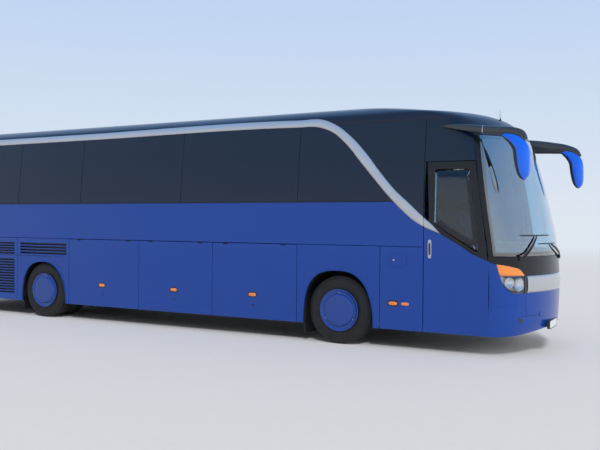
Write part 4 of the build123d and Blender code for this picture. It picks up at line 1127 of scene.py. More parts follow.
class BuildTrim(bpy.types.Operator):
    """Side trim: a crowned silver strip along the roof edge that sweeps down to a point on the door."""

    bl_idname = "coach.trim"
    bl_label = "Side trim"

    def execute(self, context):
        right = trim_strip(-1, REAR_SEAM - 1, DOOR_REAR - GAP)
        left = trim_strip(1, REAR_SEAM - 1, FRONT + 2)
        piece("roof_edge_trim", joined(right, left), "trim", "coach", ["side_trim"],
              solid=0.003)
        leaf = trim_strip(-1, DOOR_REAR + GAP, FRONT + 2)
        piece("door_trim", leaf, "trim", "door", solid=0.003)
        return {"FINISHED"}


# Entrance door.
DOOR_BELT = np.array(
    [(1.200, 1.860), (1.309, 1.800), (1.430, 1.735), (1.557, 1.656), (1.700, 1.577), (1.862, 1.483),
     (1.973, 1.405), (2.100, 1.345), (2.233, 1.297), (2.300, 1.275)]
)
DOOR_PANE = np.array([(1.449, 1.780), (1.449, 2.566), (1.957, 2.560), (2.124, 1.358)])


def door_belt(x):
    """The line on the door between its blue and its black part."""
    return np.interp(x, DOOR_BELT[:, 0] + FRONT, DOOR_BELT[:, 1])


def rounded(corners, radius, count=8):
    """A closed outline: straight runs between corners that are rounded by arcs of one radius."""
    corners = np.asarray(corners, float)
    line = []
    for before, here, after in zip(np.roll(corners, 1, 0), corners, np.roll(corners, -1, 0)):
        a, b = before - here, after - here
        a, b = a / np.linalg.norm(a), b / np.linalg.norm(b)
        half = math.acos(np.clip(a @ b, -1, 1)) / 2
        away = radius / math.tan(half)
        centre = here + (a + b) / np.linalg.norm(a + b) * radius / math.sin(half)
        first, last = here + a * away, here + b * away
        angles = np.unwrap([math.atan2(*(p - centre)[::-1]) for p in (first, last)])
        turn = np.linspace(*angles, count)
        line.append(centre + radius * stacked(np.cos(turn), np.sin(turn)))
    return np.vstack(line)


def cast_to(inner, outline):
    """The points of a closed outline that lie the way of each inner point, as seen from the inner middle."""
    centre = inner.mean(0)
    dense = np.vstack([np.linspace(a, b, 60)[:-1] for a, b in zip(outline, np.roll(outline, -1, 0))])
    angle = np.arctan2(*(dense - centre).T[::-1])
    order = np.argsort(angle)
    wanted = np.arctan2(*(inner - centre).T[::-1])
    columns = [
        np.interp(wanted, np.r_[angle[order] - 2 * math.pi, angle[order], angle[order] + 2 * math.pi],
                  np.tile(column[order], 3))
        for column in dense.T
    ]
    return np.stack(columns, -1)


class BuildDoor(bpy.types.Operator):
    """Entrance door: the blue panel below its sloping belt, a black frame as a band between the outer
    outline and the pane's rounded outline, the pane, rubber edges, inner lining and handle."""

    bl_idname = "coach.door"
    bl_label = "Entrance door"

    def execute(self, context):
        sizes = context.scene.coach_sizes
        rear, front = DOOR_REAR + 0.006, DOOR_FRONT - 0.006

        def place(x, z):
            return on_side(x, z, -1)

        columns = lines(rear, FRONT + 1.557, front, step=0.06)
        lower = side_columns(-1, columns, SKIRT, lambda x: door_belt(x) - 0.001, 12)
        piece("door_panel", lower, "body", "door", ["door_leaf"], solid=0.046,
              edge=sizes.panel_edge)
        z = np.linspace(PILLAR_BEND, DOOR_TOP - 0.006, 14)
        slope = stacked(pillar_x(z) - 0.006, z)[::-1]
        belt = stacked(columns[::-1], door_belt(columns[::-1]) + 0.001)
        outline = np.vstack([[(rear, DOOR_TOP - 0.006)], slope[:-1], belt])
        pane = rounded((DOOR_PANE + [FRONT, 0])[::-1], 0.055, 10)
        frame_line = cast_to(pane, outline[::-1])
        piece("door_frame", band(pane, frame_line, place, 3, (0, -1, 0), closed=True), "black", "door",
              solid=0.046, edge=0.003)
        middle_point = pane.mean(0)
        shrink = np.stack([middle_point + (pane - middle_point) * k for k in (0.994, 0.66, 0.33, 0.0)])
        piece("door_pane", sheet(place(shrink[..., 0], shrink[..., 1]), (0, -1, 0), round_columns=True),
              "door_glass", "door", ["door_glass"], solid=0.006)
        path = on_side(pane[:, 0], pane[:, 1], -1, -0.001)
        piece("door_pane_seal", swept(path, oval(0.024, 0.008, 8), (0, 1, 0), closed=True), "rubber", "door")
        lining = side_columns(-1, np.linspace(rear + 0.02, front - 0.02, 8), SKIRT + 0.03,
                              lambda x: door_belt(x) - 0.04, 6, -0.049)
        piece("door_lining", lining, "interior", "door", solid=0.006)
        self.handle()
        return {"FINISHED"}

    def handle(self):
        """A narrow upright dish with a lever in it, beside the door's rear edge."""
        x, z = FRONT + 1.402, 1.445
        rings = [(0.052, 0.262, -0.001), (0.052, 0.262, 0.006), (0.040, 0.250, 0.008), (0.034, 0.244, 0.001),
                 (0.0, 0.20, 0.001)]
        piece("door_handle_dish", side_ovals(-1, x, z, rings, 32, 4.0), "trim", "door",
              sharp=30)
        lever = pillow((x, -HALF - 0.008, z), (0.020, 0.012, 0.170), 4.0, 10, 20)
        piece("door_handle_lever", lever, "plastic", "door", sharp=50)


# Rounded front: bumper, lamps, bar, mask and windscreen.
LAMP_INNER, LENS_INNER, LENS_OUTER, LAMP_OUTER = 0.987, 1.045, 1.418, 1.456
BAR_HALF, BAR_FOOT = 0.983, 0.873
LAMP_LOW = np.array(
    [(0.90, 0.872), (1.15, 0.873), (1.22, 0.877), (1.265, 0.887), (1.31, 0.914), (1.34, 0.941),
     (1.37, 0.975), (1.39, 1.010), (1.405, 1.045), (1.418, 1.100), (1.456, 1.252)]
)
INDICATOR_TOP = np.array([(1.030, 1.109), (1.06, 1.140), (1.095, 1.176), (1.15, 1.205), (1.275, 1.232),
                          (1.37, 1.248), (1.456, 1.259)])
MASK_FOOT = np.array([(0.0, LAMP_LINE), (1.026, LAMP_LINE), (1.06, 1.144), (1.095, 1.180), (1.15, 1.209),
                      (1.275, 1.236), (1.37, 1.252), (1.456, 1.264), (1.559, 1.296), (1.70, 1.33)])
TOW_COVER = ((0.040, -0.002), (0.038, 0.006), (0.030, 0.007), (0.026, 0.001), (0.0, 0.0))
# Each reflector bowl of the front lamps: its arc length, height and radius.
LAMP_BOWLS = ((-1.135, 0.990, 0.086), (-1.290, 1.015, 0.066), (-1.330, 1.178, 0.050))
BOWL_SINK, BOWL_DEPTH, TRAY_DEPTH = 0.012, 0.040, 0.055
LAMP_MARKS = (1.06, 1.095, 1.15, 1.22, 1.265, 1.31, 1.34, 1.37, 1.39, 1.405, LENS_OUTER)


def on_line(table, s):
    """A table of arc length and height, read at the distance from the front's middle."""
    return np.interp(np.abs(s), table[:, 0], table[:, 1])


def bumper_foot(s):
    """The bumper's lower edge: low at the corners, a little higher in the middle."""
    t = np.clip((1.40 - np.abs(s)) / 1.15, 0, 1)
    return SKIRT + 0.080 * t**2 * (3 - 2 * t)


NORMAL_STEP = 0.002


def quarter_turned(tangent):
    """Level tangents turned by a right angle and brought to unit length."""
    normal = stacked(-tangent[..., 1], tangent[..., 0], 0 * tangent[..., 0])
    return normal / np.linalg.norm(normal, axis=-1, keepdims=True)


def front_columns(s, foot, top, rows=6, out=0.0):
    """Columns at arc lengths s round the front, each evenly from height foot to height top, stood out along
    the level normal."""
    s = np.asarray(s, float)
    low, high = value_at(foot, s), value_at(top, s)
    t = np.linspace(0, 1, rows + 1)[:, None]
    z = low + (high - low) * t
    points = on_front(s + 0 * t, z)
    if np.any(out):
        points = points + front_normal(s + 0 * t, z) * np.asarray(out)[..., None]
    return sheet(points, (1, 0, 0))


def front_normal(s, z):
    """The front's level outward normal at arc length s."""
    return quarter_turned(on_front(s + NORMAL_STEP, z) - on_front(s - NORMAL_STEP, z))


def rear_normal(s, z):
    """The tail's level outward normal at arc length s."""
    return quarter_turned(on_rear(s - NORMAL_STEP, z) - on_rear(s + NORMAL_STEP, z))


def shell_end(length, z):
    """The arc length from the front's middle at which the shell reaches a length, at one height."""
    return float(Section(np.array(z)).reach(np.array(length)))


class BuildFront(bpy.types.Operator):
    """Front: the bumper as one grid with the lamps' outline cut out of it, the silver bar, the black mask
    between bar and windscreen and the two windscreen pillars."""

    bl_idname = "coach.front"
    bl_label = "Front"

    def execute(self, context):
        sizes = context.scene.coach_sizes
        end = shell_end(DOOR_FRONT + sizes.seam, 0.900)
        marks = lines(0, LAMP_INNER, 1.026, *LAMP_MARKS, LAMP_OUTER, end, step=0.05)
        s = np.concatenate([-marks[:0:-1], marks])
        middle_z = np.where(
            np.abs(s) <= LAMP_OUTER,
            on_line(LAMP_LOW, s) - 0.004,
            np.interp(np.abs(s), [LAMP_OUTER, end], [LAMP_LOW[-1, 1] - 0.004, 1.15]),
        )
        top = np.where(np.abs(s) < LAMP_OUTER - 1e-6, LAMP_LINE, on_line(MASK_FOOT, s) - 0.004)
        low_rows, high_rows = 12, 4
        foot = bumper_foot(s)
        lower = foot + (middle_z - foot) * np.linspace(0, 1, low_rows + 1)[:, None]
        upper = middle_z + (top - middle_z) * np.linspace(0, 1, high_rows + 1)[1:, None]
        z = np.vstack([lower, upper])
        centre = np.abs(s[1:] + s[:-1]) / 2
        keep = np.ones((low_rows + high_rows, len(s) - 1), bool)
        keep[low_rows:, (centre > LAMP_INNER) & (centre < LAMP_OUTER)] = False
        shape = sheet(on_front(s + 0 * z, z), (1, 0, 0), keep=keep)
        piece("bumper_skin", shape, "body", "coach", ["front_bumper"], solid=0.030,
              edge=sizes.panel_edge)
        bar = np.linspace(-BAR_HALF, BAR_HALF, 49)
        t = np.linspace(0, 1, 9)[:, None]
        z = BAR_FOOT + (LAMP_LINE - BAR_FOOT) * t + 0 * bar
        out = TRIM_PROUD * np.sin(math.pi * t) ** 0.3 + 0 * z
        points = on_front(bar + 0 * t, z) + front_normal(bar + 0 * t, z) * out[..., None]
        piece("front_bar_face", sheet(points, (1, 0, 0)), "trim", "coach", ["front_bar"],
              solid=0.004)
        divider = front_columns(lines(-LENS_INNER + 0.005, -BAR_HALF - 0.004, step=0.01), BAR_FOOT + 0.002,
                                LAMP_LINE - 0.003, 4, 0.002)
        piece("lamp_dividers", both_sides(divider), "graphite", "coach", solid=0.004)
        self.bumper_joints()
        mask = front_columns(s, lambda at: on_line(MASK_FOOT, at), SCREEN_FOOT - GAP, 5)
        piece("front_mask_skin", joined(mask, both_sides(side_pillar(-1))), "black", "coach",
              ["front_mask"], solid=0.030, edge=0.003)
        return {"FINISHED"}

    def bumper_joints(self):
        """Thin joints below the lamps, a low crease round each corner and the round covers of the tow
        eyes."""
        down = stacked(np.linspace(-1.035, -0.975, 12), np.linspace(0.864, 0.566, 12))
        across = stacked(np.linspace(-1.075, -0.660, 24), np.full(24, 0.556))
        strips = [strip_on_front(line, 0.006, -0.001) for line in (down, across)]
        piece("bumper_joint_lines", both_sides(joined(*strips)), "rubber", "coach",
              sharp=60)
        crease = stacked(np.linspace(-1.500, -1.120, 40), np.linspace(0.694, 0.708, 40))
        ridge = strip_on_front(crease, 0.026 * np.sin(np.linspace(0.05, math.pi - 0.05, 40)), 0.001)
        piece("bumper_creases", both_sides(ridge), "body", "coach", sharp=60)
        cover = self.round_cover(-1.100, 0.508)
        piece("tow_eye_covers", both_sides(cover), "graphite", "coach", sharp=35)

    def round_cover(self, s, z):
        """A low round cover with a raised rim, flat on the front."""
        s, z = np.array(s), np.array(z)
        centre, out = on_front(s, z), front_normal(s, z)
        across, up = np.cross(out, (0, 0, 1)), np.array((0, 0, 1))
        turn = ring_points(32)[:, None]
        circle = np.cos(turn) * across + np.sin(turn) * up
        rings = np.stack([centre + out * lift + radius * circle for radius, lift in TOW_COVER])
        return sheet(rings, out, round_columns=True)


def strip_on_front(line, width, out):
    """A low oval strip along a line of arc lengths and heights on the front."""
    s, z = line[:, 0], line[:, 1]
    normal = front_normal(s, z)
    width = np.broadcast_to(width, len(s))
    sections = np.stack([oval(w, 0.006, 10) for w in width])
    strip = swept(on_front(s, z) + normal * out, sections, normal.mean(axis=0))
    return outward(strip)


def side_pillar(side):
    """A windscreen pillar: rows between the door's front edge and the windscreen's edge."""
    z = lines(SCREEN_FOOT - GAP, SCREEN_TOP, step=0.08)[:, None]
    section = Section(z)
    outer = section.reach(pillar_x(z) + GAP)
    inner = section.reach(screen_edge(z) - GAP)
    t = np.linspace(0, 1, 5)
    s = (outer + (inner - outer) * t) * -side
    return sheet(on_front(s, z), (1, side, 0))


class BuildWindscreen(bpy.types.Operator):
    """Windscreen: one curved pane between the pillars and a dark printed border."""

    bl_idname = "coach.windscreen"
    bl_label = "Windscreen"

    def execute(self, context):
        z = np.linspace(SCREEN_FOOT + 0.002, SCREEN_TOP - 0.002, 26)
        pane = front_patch(z, screen_edge, 56)
        piece("windscreen_pane", pane, "screen_glass", "coach", ["windscreen"], solid=0.006)
        t = np.linspace(-1, 1, 57)
        reach = Section(z[:, None]).reach(screen_edge(z[:, None]))
        inside = on_front(t * reach, z[:, None])
        inside = inside - front_normal(t * reach, z[:, None] + 0 * t) * 0.008
        across, up = (t[1:] + t[:-1]) / 2, np.linspace(0, 1, 25)
        border = (np.abs(across)[None, :] > 0.955) | (up[:, None] < 0.04) | (up[:, None] > 0.93)
        piece("windscreen_border", sheet(inside, (1, 0, 0), keep=border), "dark", "coach",
              solid=0.002)
        return {"FINISHED"}


def bowl(centre, axis, radius, depth):
    """A lamp reflector: a paraboloid whose depth goes as the square of its radius, open along axis."""
    axis = np.asarray(axis, float) / np.linalg.norm(axis)
    side = np.cross(axis, (0, 0, 1))
    side /= np.linalg.norm(side)
    up = np.cross(side, axis)
    r = np.linspace(0, 1, 9)[:, None, None]
    angle = ring_points(32)[None, :, None]
    points = (
        np.asarray(centre)
        + radius * r * (np.cos(angle) * side + np.sin(angle) * up)
        - axis * depth * (1 - r**2)
    )
    return sheet(points, axis, round_columns=True)


class BuildLamps(bpy.types.Operator):
    """Front lamps: lens grids on the shell inside the lamp's outline, a tray behind each, two parabolic
    bowls in the clear lamp and one in the amber lamp. Tail lamps: stacked lenses on the tail's corner."""

    bl_idname = "coach.lamps"
    bl_label = "Lamps"

    def execute(self, context):
        clear_s = -lines(LENS_INNER, *LAMP_MARKS[1:], step=0.03)
        amber_s = -lines(1.031, *LAMP_MARKS, LAMP_OUTER - 0.004, step=0.03)

        def low(at):
            return on_line(LAMP_LOW, at)

        def amber_low(at):
            return np.maximum(on_line(LAMP_LOW, at), LAMP_LINE + 0.003)

        def high(at):
            return on_line(INDICATOR_TOP, at)

        clear = front_columns(clear_s[::-1], low, LAMP_LINE - 0.003, 6)
        amber = front_columns(amber_s[::-1], amber_low, high, 5)
        trays, bowls = [], []
        for s, foot, top in ((clear_s, low, LAMP_LINE - 0.003), (amber_s, amber_low, high)):
            trays.append(front_columns(s[::-1], foot, top, 4, -TRAY_DEPTH))
            depth = np.array([0.004, TRAY_DEPTH])[:, None]
            rim_s = np.concatenate([s, s[::-1]]) + 0 * depth
            rim_z = np.concatenate([value_at(foot, s), value_at(top, s)[::-1]]) + 0 * depth
            ring = on_front(rim_s, rim_z) - front_normal(rim_s, rim_z) * depth[..., None]
            trays.append(sheet(ring, round_columns=True))
        for *place, radius in LAMP_BOWLS:
            at, z = map(np.array, place)
            normal = front_normal(at, z)
            bowls.append(bowl(on_front(at, z) - normal * BOWL_SINK, normal, radius, BOWL_DEPTH))
        for shape, name, finish, slot, node in (
            (clear, "headlamp_lenses", "clear", "clear_lens", "headlamps"),
            (amber, "indicator_lenses", "amber", "amber_lens", "front_indicators"),
        ):
            piece(name, both_sides(shape), finish, "coach", [node], solid=0.004)
        tray, reflectors = joined(*trays), joined(*bowls)
        piece("lamp_trays", both_sides(tray), "trim", "coach", solid=0.002)
        piece("lamp_bowls", both_sides(reflectors), "reflector", "coach",
              solid=0.001)
        self.tail_lamps()
        return {"FINISHED"}

    def tail_lamps(self):
        """Tail lamps: four stacked lenses round the tail's corner, each a little crowned."""
        s = np.linspace(1.016, 1.332, 15)
        colours = ("red", "amber", "clear", "red")
        edges = np.linspace(0.765, 1.275, len(colours) + 1)
        for index, finish in enumerate(colours):
            z = np.linspace(edges[index] + 0.003, edges[index + 1] - 0.003, 7)[:, None]
            up = np.linspace(-1, 1, 7)[:, None]
            points = on_rear(s + 0 * z, z + 0 * s)
            points = points + rear_normal(s + 0 * z, z + 0 * s) * (0.004 * (1 - up**4) + 0 * s)[..., None]
            shape = sheet(points, (-1, -1, 0))
            piece(f"tail_lens_{index + 1}", both_sides(shape), finish, "coach",
                  ["tail_lamps"] if index == 0 else (), solid=0.004)
        z = np.linspace(0.760, 1.280, 6)[:, None]
        back = on_rear(s + 0 * z, z + 0 * s) - rear_normal(s + 0 * z, z + 0 * s) * 0.03
        tray = sheet(back, (-1, -1, 0))
        piece("tail_lamp_trays", both_sides(tray), "reflector", "coach", solid=0.002)


# Tail. The pane's and the lid's half width, foot and top; the lamps' inner and outer end, foot and top.
REAR_PANE = (0.980, 2.080, 3.200)
LID = (0.900, 0.640, 1.640)
TAIL_LAMP = (1.010, 1.340, 0.760, 1.280)
LID_HINGE_Z = 1.628
LOUVRE_SLOT = 0.026


def rear_lines(marks, z):
    """Arc lengths round the tail: fixed up to the corner, then stretched to end on the side seam."""
    reach = Section(z).rear_reach(REAR_SEAM + GAP)
    last, turn = np.abs(marks).max(), 1.345
    beyond = turn + (np.abs(marks) - turn) / (last - turn) * (reach - turn)
    return np.sign(marks) * np.where(np.abs(marks) > turn, beyond, np.abs(marks))


class BuildTail(bpy.types.Operator):
    """Tail: one grid round the rear corners without the cells of the window, lid and lamps; then the window,
    the louvred engine lid with its hinges and a blank plate at each end."""

    bl_idname = "coach.tail"
    bl_label = "Tail"

    def execute(self, context):
        sizes = context.scene.coach_sizes
        corner = (TAIL_LAMP[0], 1.055, 1.12, 1.20, 1.28, TAIL_LAMP[1])
        half = lines(0, LID[0], REAR_PANE[0], *corner, 1.55, step=0.12)
        marks = np.concatenate([-half[:0:-1], half])
        rows = lines(SKIRT, LID[1], *TAIL_LAMP[2:], LID[2], *REAR_PANE[1:], ROOF_LINE, step=0.1)

        def place(a, b):
            return on_rear(rear_lines(a, b), b)

        holes = [
            (-REAR_PANE[0], *REAR_PANE),
            (-LID[0], *LID),
            TAIL_LAMP,
            (-TAIL_LAMP[1], -TAIL_LAMP[0], *TAIL_LAMP[2:]),
        ]
        wall = plate(place, marks, rows, holes, (-1, 0, 0))
        piece("tail_skin", wall, "body", "coach", ["rear_wall"], solid=0.050,
              edge=sizes.panel_edge)
        pane_s = np.linspace(-REAR_PANE[0] + GAP, REAR_PANE[0] - GAP, 25)
        pane_z = np.linspace(REAR_PANE[1] + GAP, REAR_PANE[2] - GAP, 17)
        pane = plate(on_rear, pane_s, pane_z, (), (-1, 0, 0))
        piece("rear_pane", pane, "side_glass", "coach", ["rear_window"], solid=sizes.glass,
              edge=PANE_EDGE)
        self.lid(sizes)
        self.plate_seats()
        return {"FINISHED"}

    def lid(self, sizes):
        """Engine lid: a flat skin with rows of louvre slots between ribs, and its hinge barrels."""
        low, high = LID[1] + 0.006, LID_HINGE_Z - 0.004
        slots_z = np.linspace(1.00, 1.52, 11)
        ends = ((-0.80, -0.28), (-0.24, 0.24), (0.28, 0.80))
        holes = [(a, b, z, z + LOUVRE_SLOT) for z in slots_z for a, b in ends]
        rows = lines(low, *sorted([z + d for z in slots_z for d in (0, LOUVRE_SLOT)]), high, step=0.2)
        columns = lines(-0.894, -0.80, -0.28, -0.24, 0.24, 0.28, 0.80, 0.894, step=0.3)
        skin = plate(on_rear, columns, rows, holes, (-1, 0, 0))
        piece("engine_lid_skin", skin, "body", "engine_lid", ["engine_lid"], solid=0.030,
              edge=sizes.panel_edge)
        blades = []
        for a, b, foot, top in holes:
            z = np.array([top + 0.002, foot - 0.012])[:, None]
            depth = np.array([0.006, 0.030])[:, None]
            y = np.array([[a, b]]) + 0 * z
            x = Section(z).tail + depth
            blades.append(sheet(stacked(x, y, z), (-1, 0, 1)))
        piece("engine_lid_louvres", joined(*blades), "plastic", "engine_lid", solid=0.002)
        axis_x = Section(np.array(1.640)).tail + 0.006
        stations = (-0.65, 0.65)
        moving = [(axis_x, y + k * BARREL_PITCH, LID_HINGE_Z) for y in stations for k in (-1, 1)]
        piece("engine_lid_barrels", barrels(moving, (0, 1, 0), FLAP_BARREL), "steel", "engine_lid")
        fixed = [(axis_x, y, LID_HINGE_Z) for y in stations]
        piece("engine_lid_fixed_barrels", barrels(fixed, (0, 1, 0), BODY_BARREL), "steel", "coach")

    def plate_seats(self):
        """Blank plates at both ends, rounded rectangles with a raised rim."""
        holder = [(0.518, 0.118, -0.040), (0.518, 0.118, 0.0), (0.508, 0.108, 0.0), (0.500, 0.100, -0.002)]
        face = [(0.500, 0.100, -0.0018), (0.498, 0.098, -0.001), (0.0, 0.0, -0.001)]
        for name, x, y, z, way in (
            ("front", NOSE - 0.010, -0.240, 0.400, 1), ("rear", TAIL - 0.004, 0.0, 0.500, -1)
        ):
            for part, rings, finish in (("plate_holder", holder, "plastic"), ("plate", face, "plate")):
                points = ovals(lambda a, b, out: (x + way * out, y + a, z + b), rings, 48, 12.0)
                piece(f"{name}_{part}", sheet(points, (way, 0, 0), round_columns=True), finish, "coach",
                      sharp=25)


# Wheels.
TYRE_WIDTH, TYRE_FACE, TWIN_GAP = 0.295, 1.250, 0.045
BEAD_RADIUS, COVER_RADIUS = 0.286, 0.314
TREAD_COLUMNS = 180
# Each wheel: its body, its tyre and rim nodes, its axle's place, its side and its number of tyres.
WHEELS = (
    ("front_right_wheel", "front_right_tyre", "front_right_rim", FRONT, -1, 1),
    ("front_left_wheel", "front_left_tyre", "front_left_rim", FRONT, 1, 1),
    ("rear_right_wheels", "rear_right_tyres", "rear_right_rims", REAR, -1, 2),
    ("rear_left_wheels", "rear_left_tyres", "rear_left_rims", REAR, 1, 2),
)
# Half a tyre's outline from its bead to the tread's middle: radius, then distance in from its outer face.
SIDEWALL = np.array(
    [(0.286, 0.034), (0.292, 0.022), (0.302, 0.018), (0.312, 0.0155), (0.318, 0.0125), (0.326, 0.0120),
     (0.334, 0.0095), (0.360, 0.0040), (0.385, 0.0010), (0.405, 0.0), (0.425, 0.0015), (0.440, 0.0045),
     (0.447, 0.0040), (0.453, 0.0060), (0.462, 0.0120), (0.474, 0.0200), (0.486, 0.0275), (0.495, 0.0340)]
)
GROOVES = (0.033, 0.092)
GROOVE_HALF, GROOVE_DEPTH = 0.0055, 0.013
# The tread's half width, the waves of its grooves and its shoulder blocks round the tyre, the blocks' cuts.
TREAD_HALF, TREAD_WAVES, TREAD_BLOCKS = 0.112, 45, 60
BLOCK_DEPTH, BLOCK_LEVEL = 0.006, 0.55
# Profiles of the wheels' other parts: radius, then distance out from the tyre's outer face or its seat.
COVER_PROFILE = (
    (0.284, -0.030), (0.290, -0.004), (0.300, 0.002), (COVER_RADIUS - 0.003, 0.003), (COVER_RADIUS, 0.006),
    (COVER_RADIUS - 0.001, 0.009), (0.308, 0.0115), (0.301, 0.0105), (0.297, 0.007), (0.285, -0.001),
    (0.268, -0.010), (0.252, -0.012), (0.244, -0.009), (0.238, 0.004), (0.233, 0.015), (0.226, 0.0195),
    (0.210, 0.021), (0.150, 0.0215), (0.070, 0.0218), (0.0, 0.022),
)
RIM_PROFILE = (
    (BEAD_RADIUS + 0.006, -0.028), (BEAD_RADIUS - 0.002, -0.032), (BEAD_RADIUS - 0.014, -0.050),
    (BEAD_RADIUS - 0.014, -0.245), (BEAD_RADIUS - 0.002, -0.263), (BEAD_RADIUS + 0.006, -0.267),
)
BOLT_PROFILE = (
    (0.0070, -0.002), (0.0070, 0.003), (0.0055, 0.0045), (0.0035, 0.0045), (0.0035, 0.002), (0.0, 0.002),
)
BOLT_CIRCLE, BOLT_SEAT = 0.258, -0.0115
SPACER_RADIUS, SPACER_HALF = 0.271, 0.062
HAND_HOLES = 10


def tyre_shape(x, side, face):
    """A tyre turned about its axle: sidewall rings, then a slightly crowned tread whose four grooves waver
    with the angle and whose shoulders are cut into blocks."""
    across = np.array(sorted(g + step for g in GROOVES for step in (-0.009, -0.0045, 0, 0.0045, 0.009)))
    across = np.concatenate([-np.r_[TREAD_HALF, across[::-1]], [0.0], np.r_[across, TREAD_HALF]])
    angle = ring_points(TREAD_COLUMNS)
    wave = 0.003 * np.sin(angle * TREAD_WAVES)
    distance = np.abs(across)[:, None]
    near_groove = np.min([np.abs(distance - g) for g in GROOVES], axis=0)
    crown = TYRE_RADIUS - 0.003 * (distance / TREAD_HALF) ** 2
    cut = GROOVE_DEPTH * (near_groove < GROOVE_HALF)
    between_blocks = np.sin(angle * TREAD_BLOCKS) > BLOCK_LEVEL
    block = BLOCK_DEPTH * (distance > 0.10) * between_blocks
    tread_radius = crown - cut - block
    tread_y = across[:, None] + np.sign(across[:, None]) * wave * (near_groove < 0.01)
    wall_radius = SIDEWALL[:, 0][:, None] + 0 * angle
    wall_radius = wall_radius - BLOCK_DEPTH * (SIDEWALL[:, 0][:, None] > 0.480) * between_blocks
    outer_y = TYRE_WIDTH / 2 - SIDEWALL[:, 1][:, None] + 0 * angle
    radius = np.vstack([wall_radius, tread_radius[::-1], wall_radius[::-1], wall_radius[:1]])
    y = np.vstack([outer_y, tread_y[::-1], -outer_y[::-1], outer_y[:1]])
    y = side * (face - TYRE_WIDTH / 2 + y)
    points = stacked(x + radius * np.cos(angle), y, AXLE_Z + radius * np.sin(angle))
    return outward(sheet(points, round_columns=True), (x, side * (face - TYRE_WIDTH / 2), AXLE_Z))


def turned(profile, x, side):
    """A profile of radius and distance from the middle, turned about an axle, its faces looking outward."""
    points, quads = lathe([(r, side * y) for r, y in profile], x, AXLE_Z)
    normals, _ = face_normals(points, quads)
    return points, quads[:, ::-1] if (normals[:, 1] * side).sum() < 0 else quads


def disc_shape(x, side, y):
    """A wheel disc as a polar grid with round-cornered hand holes."""
    radius = np.array([0.055, 0.105, 0.160, 0.178, 0.200, 0.222, 0.240, 0.272])
    angle = ring_points(120)
    a, r = np.meshgrid(angle, radius)
    points = stacked(x + r * np.cos(a), side * y, AXLE_Z + r * np.sin(a))
    middle_r, middle_a = (radius[1:] + radius[:-1]) / 2, angle + math.pi / 120
    within_pitch = np.abs((middle_a * HAND_HOLES / (2 * math.pi)) % 1 - 0.5)[None, :]
    wide = np.where((middle_r > 0.178) & (middle_r < 0.222), 0.20, 0.12)[:, None]
    hole = (within_pitch < wide) & ((middle_r > 0.160) & (middle_r < 0.240))[:, None]
    return sheet(points, (0, side, 0), round_columns=True, keep=~hole)


def from_face(profile, face):
    """A profile whose distances out are measured from a face."""
    return [(radius, face + out) for radius, out in profile]


class BuildWheels(bpy.types.Operator):
    """Wheels: turned tyres with a grooved tread, a rim barrel and pierced disc, and a blue cover with a thin
    lip, a sunk ring and a raised disc. The rear ones are twins."""

    bl_idname = "coach.wheels"
    bl_label = "Wheels"

    def execute(self, context):
        for body, tyre_node, rim_node, x, side, count in WHEELS:
            faces = [TYRE_FACE - index * (TYRE_WIDTH + TWIN_GAP) for index in range(count)]
            tyres = [tyre_shape(x, side, face) for face in faces]
            piece(f"{body}_tyres", joined(*tyres), "tyre", body, [tyre_node], sharp=32)
            cover = turned(from_face(COVER_PROFILE, TYRE_FACE), x, side)
            piece(f"{body}_cover", cover, "cover", body, [rim_node], sharp=60)
            piece(f"{body}_cover_bolts", self.cover_bolts(x, side), "bare", body, sharp=40)
            disc_y = TYRE_FACE - 0.075 if count == 1 else TYRE_FACE - TYRE_WIDTH - TWIN_GAP / 2
            walls = [from_face(RIM_PROFILE, face) for face in faces]
            if count > 1:
                walls.append([(SPACER_RADIUS, disc_y + SPACER_HALF), (SPACER_RADIUS, disc_y - SPACER_HALF)])
            steel = [inward(lathe([(r, side * y) for r, y in wall], x, AXLE_Z), x) for wall in walls]
            piece(f"{body}_rims", joined(disc_shape(x, side, disc_y), *steel), "steel", body,
                  solid=0.010, sharp=35)
        return {"FINISHED"}

    def cover_bolts(self, x, side):
        """Three small cap screws evenly round the sunk ring of a cover."""
        heads = []
        profile = [(r, side * (TYRE_FACE + BOLT_SEAT) + side * y) for r, y in BOLT_PROFILE]
        for angle in math.pi / 2 + ring_points(3):
            centre_x = x + BOLT_CIRCLE * math.cos(angle)
            centre_z = AXLE_Z + BOLT_CIRCLE * math.sin(angle)
            points, quads = lathe(profile, centre_x, centre_z, 12)
            heads.append((points, quads if side < 0 else quads[:, ::-1]))
        return joined(*heads)


# Mirrors. Each route row: x, distance out, z, then the arm's thickness and height there.
RIGHT_ARM = np.array(
    [(4.672, 1.200, 3.150, 0.004, 0.006), (4.750, 1.216, 3.147, 0.030, 0.040),
     (4.950, 1.240, 3.122, 0.060, 0.085), (5.270, 1.272, 3.072, 0.080, 0.105),
     (5.500, 1.302, 3.046, 0.090, 0.106), (5.680, 1.322, 3.022, 0.095, 0.108),
     (5.790, 1.330, 2.972, 0.100, 0.112), (5.825, 1.332, 2.890, 0.100, 0.100)]
)
LEFT_ARM = np.array(
    [(4.672, 1.200, 3.150, 0.004, 0.006), (4.750, 1.216, 3.147, 0.030, 0.045),
     (4.980, 1.244, 3.115, 0.065, 0.130), (5.350, 1.285, 3.066, 0.085, 0.215),
     (5.700, 1.312, 3.032, 0.095, 0.185), (5.930, 1.328, 2.998, 0.100, 0.150),
     (6.060, 1.332, 2.945, 0.105, 0.125), (6.105, 1.334, 2.870, 0.105, 0.110)]
)
